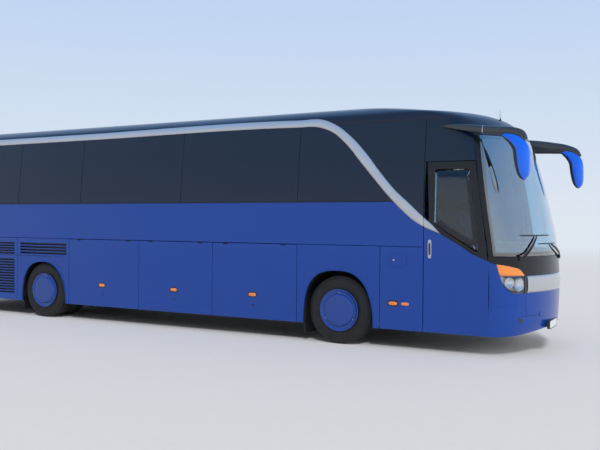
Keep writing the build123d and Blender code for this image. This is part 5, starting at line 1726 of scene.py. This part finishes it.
# Each head row: x and z along its bent spine, then its depth across and its width.
RIGHT_HEAD = np.array(
    [(5.530, 2.978, 0.020, 0.020), (5.560, 2.966, 0.070, 0.080), (5.625, 2.932, 0.135, 0.130),
     (5.705, 2.872, 0.205, 0.165), (5.765, 2.785, 0.245, 0.195), (5.782, 2.670, 0.240, 0.215),
     (5.795, 2.560, 0.220, 0.215), (5.812, 2.460, 0.180, 0.190), (5.830, 2.405, 0.120, 0.140),
     (5.842, 2.382, 0.036, 0.050)]
)
LEFT_HEAD = RIGHT_HEAD + [0.280, 0, 0, 0]
MIRROR_SPAN = 1.334
ARM_JOINT_X = 5.270


def arm_shape(route, side):
    """A mirror arm: an oval carried along the route, its thickness and height following the rows."""
    path = smooth_curve(route, 40)
    sections = np.stack([oval(w, h, 28, 2.6) for w, h in path[:, 3:]])
    return swept(path[:, :3] * [1, side, 1], sections, (0, 0, 1))


def head_shapes(spine, side):
    """A mirror head: a D-shaped section carried down the bent spine. Returns the shell, the rim behind it
    and the glass on the rim's rear face."""
    rows = smooth_curve(spine, 44)
    path = stacked(rows[:, 0], np.full(len(rows), side * MIRROR_SPAN), rows[:, 1])
    full = np.stack([oval(w, d, 36, 2.5) for d, w in rows[:, 2:]])
    half_depth = rows[:, 2][:, None] / 2
    shell, rim = full.copy(), full * 1.025
    shell[..., 1] = np.maximum(full[..., 1], -0.42 * half_depth)
    rim[..., 1] = np.clip(full[..., 1], -0.62 * half_depth, -0.26 * half_depth)
    lower = rows[:, 1] < 2.840
    glass = full[lower] * 0.86
    depth = half_depth[lower]
    glass[..., 1] = np.clip(full[lower][..., 1], -0.64 * depth, -0.56 * depth)
    up = (1, 0, 0)
    return swept(path, shell, up), swept(path, rim, up), swept(path[lower], glass, up)


class BuildMirrors(bpy.types.Operator):
    """Mirrors: two streamlined arms from the roof's shoulders, and a bent blue head on each with its dark
    rim and rear-facing glass."""

    bl_idname = "coach.mirrors"
    bl_label = "Mirrors"

    def execute(self, context):
        arms, rings, shells, rims, glasses = [], [], [], [], []
        for route, spine, side in ((RIGHT_ARM, RIGHT_HEAD, -1), (LEFT_ARM, LEFT_HEAD, 1)):
            arm = arm_shape(route, side)
            arms.append(outward(arm))
            rows = smooth_curve(route, 120)
            near = rows[np.abs(rows[:, 0] - ARM_JOINT_X) < 0.012]
            sections = np.stack([oval(w + 0.004, h + 0.004, 28, 2.6) for w, h in near[:, 3:]])
            ring = swept(near[:, :3] * [1, side, 1], sections, (0, 0, 1))
            rings.append(outward(ring))
            for found, shape in zip((shells, rims, glasses), head_shapes(spine, side)):
                found.append(outward(shape))
        piece("mirror_arm_shells", joined(*arms), "graphite", "coach", ["mirror_arms"],
              sharp=60)
        piece("mirror_arm_joints", joined(*rings), "bare", "coach", sharp=50)
        piece("mirror_head_shells", joined(*shells), "head", "coach", ["mirror_covers"],
              sharp=50)
        piece("mirror_head_rims", joined(*rims), "plastic", "coach", sharp=50)
        piece("mirror_glasses", joined(*glasses), "reflector", "coach", sharp=40)
        return {"FINISHED"}


# Wipers, marker lamps and the other small things on the body.
# Each wiper: pivot's and arm end's places across and up, then the blade's ends across and its height.
WIPERS = (
    ((-1.060, 1.335), (-0.700, 1.645), (-1.000, -0.350), 1.645),
    ((0.210, 1.335), (-0.300, 1.530), (-0.650, -0.150), 1.530),
)


def front_face(y, z):
    """The point of the front at a distance across and a height."""
    y, z = np.broadcast_arrays(np.asarray(y, float), np.asarray(z, float))
    section = Section(z)
    return stacked(section.bow_x + np.sqrt(section.bow**2 - y**2), y, z)


class BuildWipers(bpy.types.Operator):
    """Wipers: a cap on each pivot, an arm carried over the glass and a blade of rubber in a thin carrier
    that follows the glass."""

    bl_idname = "coach.wipers"
    bl_label = "Wipers"

    def execute(self, context):
        metal, rubber = [], []
        for (pivot_y, pivot_z), (elbow_y, elbow_z), (start, end), z in WIPERS:
            t = np.linspace(0, 1, 24)
            lift = 0.018 + 0.016 * np.sin(math.pi * t)
            for drop, broad in ((0.0, 0.030), (0.030, 0.014)):
                z_line = pivot_z + (elbow_z - pivot_z) * t - drop * (1 - 0.5 * t)
                path = front_face(pivot_y + (elbow_y - pivot_y) * t, z_line) + [1, 0, 0] * lift[:, None]
                width = broad * (1 - 0.4 * t)
                sections = np.stack([oval(w, 0.014, 14, 3.0) for w in width])
                metal.append(swept(path, sections, (1, 0, 0)))
            cap = front_face(pivot_y, pivot_z)
            metal.append(pillow(cap + [0.010, 0, 0], (0.036, 0.052, 0.052), 3.0, 12, 24))
            y = np.linspace(start, end, 40)
            carrier = front_face(y, z + 0.006) + [0.020, 0, 0]
            metal.append(swept(carrier, oval(0.012, 0.008, 10, 3.0), (1, 0, 0)))
            lip = front_face(y, z) + [0.008, 0, 0]
            rubber.append(swept(lip, oval(0.006, 0.018, 8, 3.0), (1, 0, 0)))
        piece("wiper_arms", joined(*map(outward, metal)), "plastic", "coach", ["wipers"],
              sharp=50)
        piece("wiper_blades", joined(*map(outward, rubber)), "rubber", "coach", sharp=50)
        return {"FINISHED"}


SPAT_HALF, SPAT_TOP, SPAT_POWER = 0.588, 1.134, 2.1
MARKERS = [(FRONT - 4.640, "flap_1"), (FRONT - 3.050, "flap_2"), (FRONT - 1.500, "flap_3")]
MARKER_Z, SERVICE_LAMP_Z = 0.660, 0.657
JOINT_OUT = -0.0015
DOME_STEPS = ((1.0, 0.0), (1.0, 0.004), (0.88, 0.0080), (0.50, 0.0096), (0.0, 0.0100))
RIM_STEPS = ((1.0, 0.0), (1.0, 0.003), (0.84, 0.0045), (0.72, 0.001))


def side_ovals(side, x, z, rings, count=28, power=3.0):
    """A stack of ovals on the upright side wall, each with its width, height and distance out."""
    points = ovals(lambda a, b, out: (x + a, side * (HALF + out), z + b), rings, count, power)
    return sheet(points, (0, side, 0), round_columns=True)


def side_lamp(side, spot, size, steps):
    """An oval side lamp's dome or rim: rings whose shares of the size and distances out are the steps."""
    width, height = size
    return side_ovals(side, *spot, [(width * share, height * share, out) for share, out in steps])


def raised_outline(side, corners, radius, width):
    """A thin joint line round a door in the panel: a flat strip along a rounded outline."""
    line = rounded(np.asarray(corners, float), radius, 8)
    path = on_side(line[:, 0], line[:, 1], side, JOINT_OUT)
    return swept(path, oval(width, 0.006, 8), (0, 1, 0), closed=True)


class BuildSideDetails(bpy.types.Operator):
    """Side details: marker lamps on the flaps and before the front wheels, the fuel flap's joint and lock,
    the joint over the rear arch and the antenna."""

    bl_idname = "coach.side_details"
    bl_label = "Side details"

    def execute(self, context):
        for name, side in SIDES:
            for x, flap in MARKERS:
                body = f"{name}_{flap}"
                dome = side_lamp(side, (x, MARKER_Z), (0.134, 0.056), DOME_STEPS)
                rim = side_lamp(side, (x, MARKER_Z), (0.162, 0.080), RIM_STEPS)
                piece(f"{body}_marker", dome, "amber", body, sharp=50)
                piece(f"{body}_marker_rim", rim, "rubber", body, sharp=50)
            front_spot, rear_spot = (FRONT + 0.862, SERVICE_LAMP_Z), (FRONT + 1.047, SERVICE_LAMP_Z)
            lamps = joined(side_lamp(side, front_spot, (0.132, 0.052), DOME_STEPS),
                           side_lamp(side, rear_spot, (0.116, 0.044), DOME_STEPS))
            rims = side_lamp(side, front_spot, (0.172, 0.088), RIM_STEPS)
            piece(f"{name}_service_lamps", lamps, "amber", "coach", sharp=50)
            piece(f"{name}_service_lamp_rims", rims, "rubber", "coach", sharp=50)
            low, high, foot, top = FRONT + 0.830, FRONT + 1.065, 1.180, 1.365
            flap = [(low, foot), (high, foot), (high, top), (low, top)]
            joints = [raised_outline(side, flap, 0.020, 0.004), self.spat_joint(side)]
            piece(f"{name}_panel_joints", joined(*joints), "rubber", "coach", sharp=60)
            fuel_lock = lock(side, FRONT + 0.870, 1.276, 0.014)
            piece(f"{name}_flap_lock", fuel_lock, "bare", "coach", sharp=30)
        self.antenna()
        return {"FINISHED"}

    def spat_joint(self, side):
        """The joint over the rear arch: level from the tail to above the axle, then a quarter superellipse
        down beside the arch's front half."""
        angle = np.linspace(math.pi / 2, 0.36, 60)
        x = REAR + SPAT_HALF * np.cos(angle) ** (2 / SPAT_POWER)
        z = SKIRT + (SPAT_TOP - SKIRT) * np.sin(angle) ** (2 / SPAT_POWER)
        line = np.vstack([[(REAR_SEAM + 0.02, SPAT_TOP)], stacked(x, z)])
        line = evenly(line, 120)
        path = on_side(line[:, 0], line[:, 1], side, JOINT_OUT)
        return swept(path, oval(0.010, 0.006, 8), (0, 1, 0))

    def antenna(self):
        """A thin whip on a turned rubber foot."""
        x, y = FRONT + 2.130, -0.300
        foot = roof_height(x, y)
        path = np.linspace((x, y, foot - 0.01), (x - 0.012, y, foot + 0.150), 12)
        widths = np.r_[0.030, 0.030, 0.020, np.linspace(0.008, 0.003, 9)]
        sections = np.stack([oval(width, width, 12) for width in widths])
        whip = swept(path, sections, (1, 0, 0))
        piece("antenna", outward(whip), "rubber", "coach", sharp=40)


def roof_height(x, y):
    """The height of the roof above a point of the ground, by bisection on the level outlines."""
    low, high = SCREEN_TOP, OUTLINES[-1, 0]
    for _ in range(30):
        z = (low + high) / 2
        section = Section(np.array(z))
        inside = x < section.front_point(np.array(0.0))[0] and abs(y) < section.side_y(np.array(x))
        low, high = (z, high) if inside else (low, z)
    return low


# Cabin: seats as in the frame, the dashboard and the steering wheel.
DECK_TOP, CAB_TOP = 1.400, 0.900
SEAT_ROWS, SEAT_PITCH, FIRST_SEAT = 11, 0.780, FRONT + 0.300
BENCH_INNER, SEAT_WIDTH = 0.250, 0.450
DRIVER_Y = 0.640
DRIVER_SEAT = (FRONT + 1.330, DRIVER_Y, CAB_TOP)


def seat_places():
    """Every seat's foot: two on each side of every row, then the driver's."""
    places = [
        (FIRST_SEAT - SEAT_PITCH * row, side * (BENCH_INNER + SEAT_WIDTH * (0.5 + index)), DECK_TOP)
        for row in range(SEAT_ROWS)
        for side in (-1, 1)
        for index in (0, 1)
    ]
    return places + [DRIVER_SEAT]


def seat_cushion():
    """A crowned seat cushion: a superellipsoid whose top swells and whose sides pull in at a seam."""
    points, quads = pillow((0.270, 0, 0.432), (0.400, 0.425, 0.105), 4.5, 15, 28)
    across = np.clip(np.abs(points[:, 1]) / 0.2125, 0, 1)
    along = np.clip(np.abs(points[:, 0] - 0.270) / 0.200, 0, 1)
    top = points[:, 2] > 0.450
    swell = 0.018 * (1 - across**2) * (1 - along**4)
    channel = 0.006 * np.exp(-(((across - 0.68) / 0.05) ** 2))
    points[:, 2] += np.where(top, swell - channel, 0)
    points[:, 1] *= 1 - 0.018 * np.exp(-(((points[:, 2] - 0.445) / 0.010) ** 2))
    return points, quads


def seat_back():
    """A crowned backrest that leans back, waisted below the head and with sewn channels down its face."""
    points, quads = pillow((0, 0, 0), (0.105, 0.430, 0.700), 4.5, 21, 28)
    up = points[:, 2] / 0.350
    across = np.abs(points[:, 1]) / 0.215
    points[:, 1] *= 1 - 0.10 * np.clip(up, 0, 1) ** 2
    face = points[:, 0] > 0.01
    bolster = 0.020 * np.clip(across - 0.55, 0, 1) ** 0.5 * (1 - np.clip(up, 0, 1))
    rolls = 0.006 * np.cos(up * 9)
    shoulder = 0.012 * np.exp(-((up - 0.72) / 0.16) ** 2)
    points[:, 0] += np.where(face, bolster + rolls * (1 - across**4) + shoulder, 0)
    lean = math.radians(9.5)
    turn = np.array([[math.cos(lean), 0, -math.sin(lean)], [0, 1, 0], [math.sin(lean), 0, math.cos(lean)]])
    return moved((points, quads), turn, (0.010, 0, 0.770))


def seat_shell():
    """The hard back of a seat and its side plates, as thin rounded forms."""
    back = pillow((-0.048, 0, 0.760), (0.028, 0.420, 0.640), 5.0, 10, 20)
    pan = pillow((0.250, 0, 0.372), (0.380, 0.400, 0.030), 5.0, 8, 20)
    leg = pillow((0.045, 0, 0.185), (0.080, 0.300, 0.370), 8.0, 8, 20)
    rest = pillow((0.200, 0.218, 0.610), (0.300, 0.034, 0.036), 4.0, 8, 12)
    return joined(back, pan, leg, rest)


def at_seats(shape):
    """The same shape at every seat."""
    return joined(*[moved(shape, None, place) for place in seat_places()])


class BuildSeats(bpy.types.Operator):
    """Seats: crowned cushions and waisted backrests on hard shells, at every place of the frame's
    benches."""

    bl_idname = "coach.seats"
    bl_label = "Seats"

    def execute(self, context):
        cushions = piece("seat_cushions", at_seats(seat_cushion()), "cloth", "coach",
                         ["seats"], sharp=80)
        backs = piece("seat_backs", at_seats(seat_back()), "cloth", "coach", sharp=80)
        piece("seat_shells", at_seats(seat_shell()), "interior", "coach", sharp=60)
        return {"FINISHED"}


STEERING_CENTRE = np.array((FRONT + 2.000, DRIVER_Y, 1.380))
STEERING_RADIUS, STEERING_TILT = 0.225, math.radians(25)
DASH_HALF, DASH_COLUMNS = 0.985, 61


class BuildCab(bpy.types.Operator):
    """Driver's place: a dashboard whose front edge follows the shell, a hooded binnacle, and a steering
    wheel with a round rim, three spokes and a column."""

    bl_idname = "coach.cab"
    bl_label = "Dashboard and steering wheel"

    def execute(self, context):
        y = np.linspace(-DASH_HALF, DASH_HALF, DASH_COLUMNS)
        nose = front_face(y, 1.300)[:, 0] - 0.075
        hood = 0.030 * np.exp(-(((y - DRIVER_Y) / 0.260) ** 4))
        rear = np.full(DASH_COLUMNS, FRONT + 2.215)
        rows = [
            (rear + 0.030, 1.155), (rear, 1.170), (rear - 0.004, 1.235 + hood), (rear + 0.020, 1.262 + hood),
            (rear + 0.080, 1.290 + hood), (rear + 0.160, 1.312 + hood * 0.6), (rear + 0.260, 1.325),
            (nose - 0.060, 1.318), (nose, 1.305), (nose, 1.155),
        ]
        points = np.stack([stacked(x, y, z) for x, z in rows])
        shape = sheet(points, (0, 0, 1), round_rows=True)
        piece("dashboard_shell", shape, "interior", "coach", ["dashboard"], sharp=45)
        dials = [
            pillow((FRONT + 2.205, DRIVER_Y + dy, 1.262), (0.010, 0.120, 0.070), 3.0, 8, 20)
            for dy in (-0.08, 0.08)
        ]
        piece("instrument_faces", joined(*dials), "black", "coach", sharp=50)
        self.wheel()
        return {"FINISHED"}

    def wheel(self):
        """A ring of round section about a tilted axis, spokes, hub and column."""
        up = np.array((-math.sin(STEERING_TILT), 0, math.cos(STEERING_TILT)))
        side = np.array((0, 1, 0))
        ahead = np.cross(side, up)
        angle = ring_points(72)[:, None]
        ring = STEERING_CENTRE + STEERING_RADIUS * (np.cos(angle) * side + np.sin(angle) * ahead)
        shapes = []
        for turn in (0, 2 * math.pi / 3, 4 * math.pi / 3):
            way = math.cos(turn) * side + math.sin(turn) * ahead
            t = np.linspace(0.02, 0.98, 10)[:, None]
            path = STEERING_CENTRE + way * STEERING_RADIUS * t - up * 0.030 * (1 - t) ** 1.5
            sections = np.stack([oval(0.050 - 0.026 * k, 0.018, 12, 3.0) for k in t[:, 0]])
            shapes.append(swept(path, sections, up))
        hub = STEERING_CENTRE - up * 0.030
        shapes.append(pillow(hub, (0.130, 0.130, 0.046), 3.0, 12, 24))
        foot = np.array((STEERING_CENTRE[0] + 0.060, DRIVER_Y, CAB_TOP))
        column = np.linspace(hub, hub - up * 0.170, 6)
        shapes.append(swept(column, oval(0.070, 0.070, 16), (0, 1, 0)))
        low = np.linspace((foot[0], foot[1], 1.270), foot, 6)
        shapes.append(swept(low, oval(0.088, 0.088, 16, 4.0), (0, 1, 0)))
        rim = outward(swept(ring, oval(0.032, 0.032, 14), up, closed=True), STEERING_CENTRE)
        shape = joined(rim, *map(outward, shapes))
        piece("steering_wheel_shapes", shape, "plastic", "coach", ["steering_wheel"],
              sharp=50)


# Hidden carriers that open with the door.
POST = (FRONT + 2.170, -1.174)
ARM_FOOT, ARM_TOP = 1.250, 1.330
LEAF_PIN = (POST[0] - 0.481, -1.140)


def round_block(low, high):
    """A bar between two corners with softly rounded edges."""
    low, high = np.asarray(low, float), np.asarray(high, float)
    return pillow((low + high) / 2, high - low, 12.0, 13, 20)


class BuildDoorCarriers(bpy.types.Operator):
    """Door carriers: the post with its two brackets on the pillar, and the leaf's lugs with their pin."""

    bl_idname = "coach.door_carriers"
    bl_label = "Door carriers"

    def execute(self, context):
        x, y = POST
        fixed = [tube((x, y, ARM_FOOT - 0.060), (x, y, ARM_TOP + 0.060), 0.020, 20)]
        for low in (ARM_FOOT - 0.060, ARM_TOP + 0.040):
            high = (FRONT + 2.330, y + 0.030, low + 0.020)
            fixed.append(round_block((x - 0.030, -HALF + 0.055, low), high))
        piece("door_post", joined(*fixed), "steel", "coach", sharp=50)
        x, y = LEAF_PIN
        lugs = [tube((x, y, ARM_FOOT - 0.030), (x, y, ARM_TOP + 0.030), 0.012, 16)]
        for low, high in ((ARM_FOOT - 0.030, ARM_FOOT - 0.003), (ARM_TOP + 0.003, ARM_TOP + 0.030)):
            lugs.append(round_block((x - 0.026, -HALF + 0.040, low), (x + 0.026, y + 0.026, high)))
        piece("door_lugs", joined(*lugs), "steel", "door", sharp=50)
        return {"FINISHED"}


NODE_FINISHES = {
    "right_upper_wall": "black", "left_upper_wall": "black", "floor_deck": "floor_cover",
    "cab_floor": "floor_cover", "bay_frame": "steel", "subframes": "steel", "wheel_housings": "rubber",
    "engine": "cast", "front_axle": "cast", "rear_axle": "cast", "air_springs": "rubber",
    "mud_flaps": "rubber", "tow_sockets": "body", "right_knuckle": "cast", "left_knuckle": "cast",
    "door_arm": "steel",
}


class FinishFrame(bpy.types.Operator):
    """Gives the frame's own nodes that stay in view their procedural materials."""

    bl_idname = "coach.frame_finishes"
    bl_label = "Frame finishes"

    def execute(self, context):
        for node, finish in NODE_FINISHES.items():
            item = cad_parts[node]
            for slot in item.material_slots:
                slot.material = finishes()[finish]
        return {"FINISHED"}


# Stage and camera.
CAMERA_PLACE = (FRONT + 4.8509, -11.4124, 1.8045)
CAMERA_YAW, CAMERA_PITCH, CAMERA_ROLL = (math.radians(a) for a in (28.5029, -0.2113, 0.4413))
HORIZON, OVERHEAD = (0.74, 0.80, 0.88), (0.20, 0.46, 0.90)
FLOOR_HALF, FLOOR_FADE = 120, (16.0, 55.0)


def combined(nodes, links, operation, first, second):
    """Two values put together by a math node."""
    both = nodes.new("ShaderNodeMath")
    both.operation = operation
    links.new(first, both.inputs[0])
    links.new(second, both.inputs[1])
    return both.outputs["Value"]


def seen_rays(nodes, links):
    """A value of 1 for rays that see or mirror the surround, straight or through glass."""
    rays = nodes.new("ShaderNodeLightPath")
    value = rays.outputs["Is Camera Ray"]
    for other in ("Is Glossy Ray", "Is Transmission Ray"):
        value = combined(nodes, links, "MAXIMUM", value, rays.outputs[other])
    return value


def camera_axes():
    """The camera's right, up and backward axes, from its heading, tilt and roll."""
    ahead = np.array(
        (-math.sin(CAMERA_YAW) * math.cos(CAMERA_PITCH), math.cos(CAMERA_YAW) * math.cos(CAMERA_PITCH),
         math.sin(CAMERA_PITCH))
    )
    level = np.array((math.cos(CAMERA_YAW), math.sin(CAMERA_YAW), 0))
    top = np.cross(level, ahead)
    c, s = math.cos(CAMERA_ROLL), math.sin(CAMERA_ROLL)
    return c * level + s * top, c * top - s * level, -ahead


class BuildStage(bpy.types.Operator):
    """Studio: a pale floor, a pale surround, two soft sunlike lamps and the camera at the photograph's
    view."""

    bl_idname = "coach.stage"
    bl_label = "Studio"

    def execute(self, context):
        scene = context.scene
        scene.view_settings.view_transform = "Standard"
        self.floor(scene)
        self.surround(scene)
        for name, way, spread, power in (
            ("key light", (-9.0, 15.0, -15.0), 12.0, 1.60),
            ("front light", (-15.0, 4.0, -5.4), 30.0, 1.55),
        ):
            data = bpy.data.lights.new(name, "SUN")
            data.angle, data.energy = math.radians(spread), power
            lamp = bpy.data.objects.new(name, data)
            lamp.visible_glossy = lamp.visible_transmission = False
            lamp.rotation_euler = Vector(way).to_track_quat("-Z", "Y").to_euler()
            scene.collection.objects.link(lamp)
        data = bpy.data.cameras.new("photograph view")
        data.sensor_width, data.lens = 36.0, scene.coach_sizes.camera_lens
        data.clip_end = 500.0
        camera = bpy.data.objects.new("photograph view", data)
        axes = np.array(camera_axes()).T
        camera.matrix_world = Matrix.Translation(CAMERA_PLACE) @ Matrix(axes.tolist()).to_4x4()
        scene.collection.objects.link(camera)
        scene.camera = camera
        return {"FINISHED"}

    def floor(self, scene):
        """A wide level floor, finely uneven."""
        reach = np.linspace(-FLOOR_HALF, FLOOR_HALF, 9)
        grid = np.stack(np.meshgrid(reach, reach), axis=-1)
        points = np.concatenate([grid, np.zeros((9, 9, 1))], axis=-1)
        item = mesh_object("studio_floor", sheet(points, (0, 0, 1)))
        item.data.materials.append(self.floor_material(scene.coach_colours.floor))

    def floor_material(self, colour):
        """The floor's pale finish. Far away it takes on the surround's colour where it is seen or mirrored,
        by its distance from the coach's middle."""
        material = moulded("studio floor", colour, 0.85, 30.0, 0.02, 0.01)
        nodes, links = material.node_tree.nodes, material.node_tree.links
        place = nodes.new("ShaderNodeTexCoord")
        away = nodes.new("ShaderNodeVectorMath")
        away.operation = "LENGTH"
        links.new(place.outputs["Object"], away.inputs[0])
        share = nodes.new("ShaderNodeMapRange")
        share.interpolation_type = "SMOOTHSTEP"
        share.inputs["From Min"].default_value, share.inputs["From Max"].default_value = FLOOR_FADE
        links.new(away.outputs["Value"], share.inputs["Value"])
        shown = combined(nodes, links, "MULTIPLY", share.outputs["Result"], seen_rays(nodes, links))
        haze = nodes.new("ShaderNodeEmission")
        haze.inputs["Color"].default_value = (*HORIZON, 1)
        mix = nodes.new("ShaderNodeMixShader")
        links.new(shown, mix.inputs["Fac"])
        links.new(nodes["Principled BSDF"].outputs["BSDF"], mix.inputs[1])
        links.new(haze.outputs["Emission"], mix.inputs[2])
        links.new(mix.outputs["Shader"], nodes["Material Output"].inputs["Surface"])
        return material

    def surround(self, scene):
        """A plain pale world, a little brighter where it is seen or mirrored than where it lights, and light
        blue overhead."""
        world = bpy.data.worlds.new("pale surround")
        scene.world = world
        world.use_nodes = True
        nodes, links = world.node_tree.nodes, world.node_tree.links
        lit = nodes["Background"]
        lit.inputs["Color"].default_value = (0.92, 0.93, 0.96, 1)
        lit.inputs["Strength"].default_value = 0.42
        place = nodes.new("ShaderNodeTexCoord")
        height = nodes.new("ShaderNodeSeparateXYZ")
        links.new(place.outputs["Generated"], height.inputs["Vector"])
        sky = ramp(nodes, links, height.outputs["Z"], HORIZON, OVERHEAD, 0.0, 0.7)
        seen = nodes.new("ShaderNodeBackground")
        links.new(sky, seen.inputs["Color"])
        mix = nodes.new("ShaderNodeMixShader")
        links.new(seen_rays(nodes, links), mix.inputs["Fac"])
        links.new(lit.outputs["Background"], mix.inputs[1])
        links.new(seen.outputs["Background"], mix.inputs[2])
        links.new(mix.outputs["Shader"], nodes["World Output"].inputs["Surface"])


PIECE_OPERATORS = (
    BuildRoof, BuildSideGlass, BuildLowerWalls, BuildFlaps, BuildTrim, BuildDoor, BuildDoorCarriers,
    BuildFront, BuildWindscreen, BuildLamps, BuildTail, BuildWheels, BuildMirrors, BuildWipers,
    BuildSideDetails, BuildSeats, BuildCab, FinishFrame,
)


class CoachPanel(bpy.types.Panel):
    """The coach's sizes, colours and build steps in the sidebar."""

    bl_idname = "VIEW3D_PT_coach"
    bl_label = "Touring coach"
    bl_space_type = "VIEW_3D"
    bl_region_type = "UI"
    bl_category = "Coach"

    def draw(self, context):
        layout = self.layout
        for group in (context.scene.coach_sizes, context.scene.coach_colours):
            for name in group.__annotations__:
                layout.prop(group, name)
        for operator in (*PIECE_OPERATORS, BuildStage):
            layout.operator(operator.bl_idname)


CLASSES = (CoachColours, CoachSizes, *PIECE_OPERATORS, BuildStage, CoachPanel)


def register():
    for item in CLASSES:
        bpy.utils.register_class(item)
    bpy.types.Scene.coach_colours = bpy.props.PointerProperty(type=CoachColours)
    bpy.types.Scene.coach_sizes = bpy.props.PointerProperty(type=CoachSizes)


def unregister():
    del bpy.types.Scene.coach_sizes
    del bpy.types.Scene.coach_colours
    for item in reversed(CLASSES):
        bpy.utils.unregister_class(item)


def main():
    """Builds the stage and every piece."""
    register()
    for operator in (BuildStage, *PIECE_OPERATORS):
        step = operator.bl_idname.split(".")[1]
        getattr(bpy.ops.coach, step)()


if __name__ == "__main__":
    main()
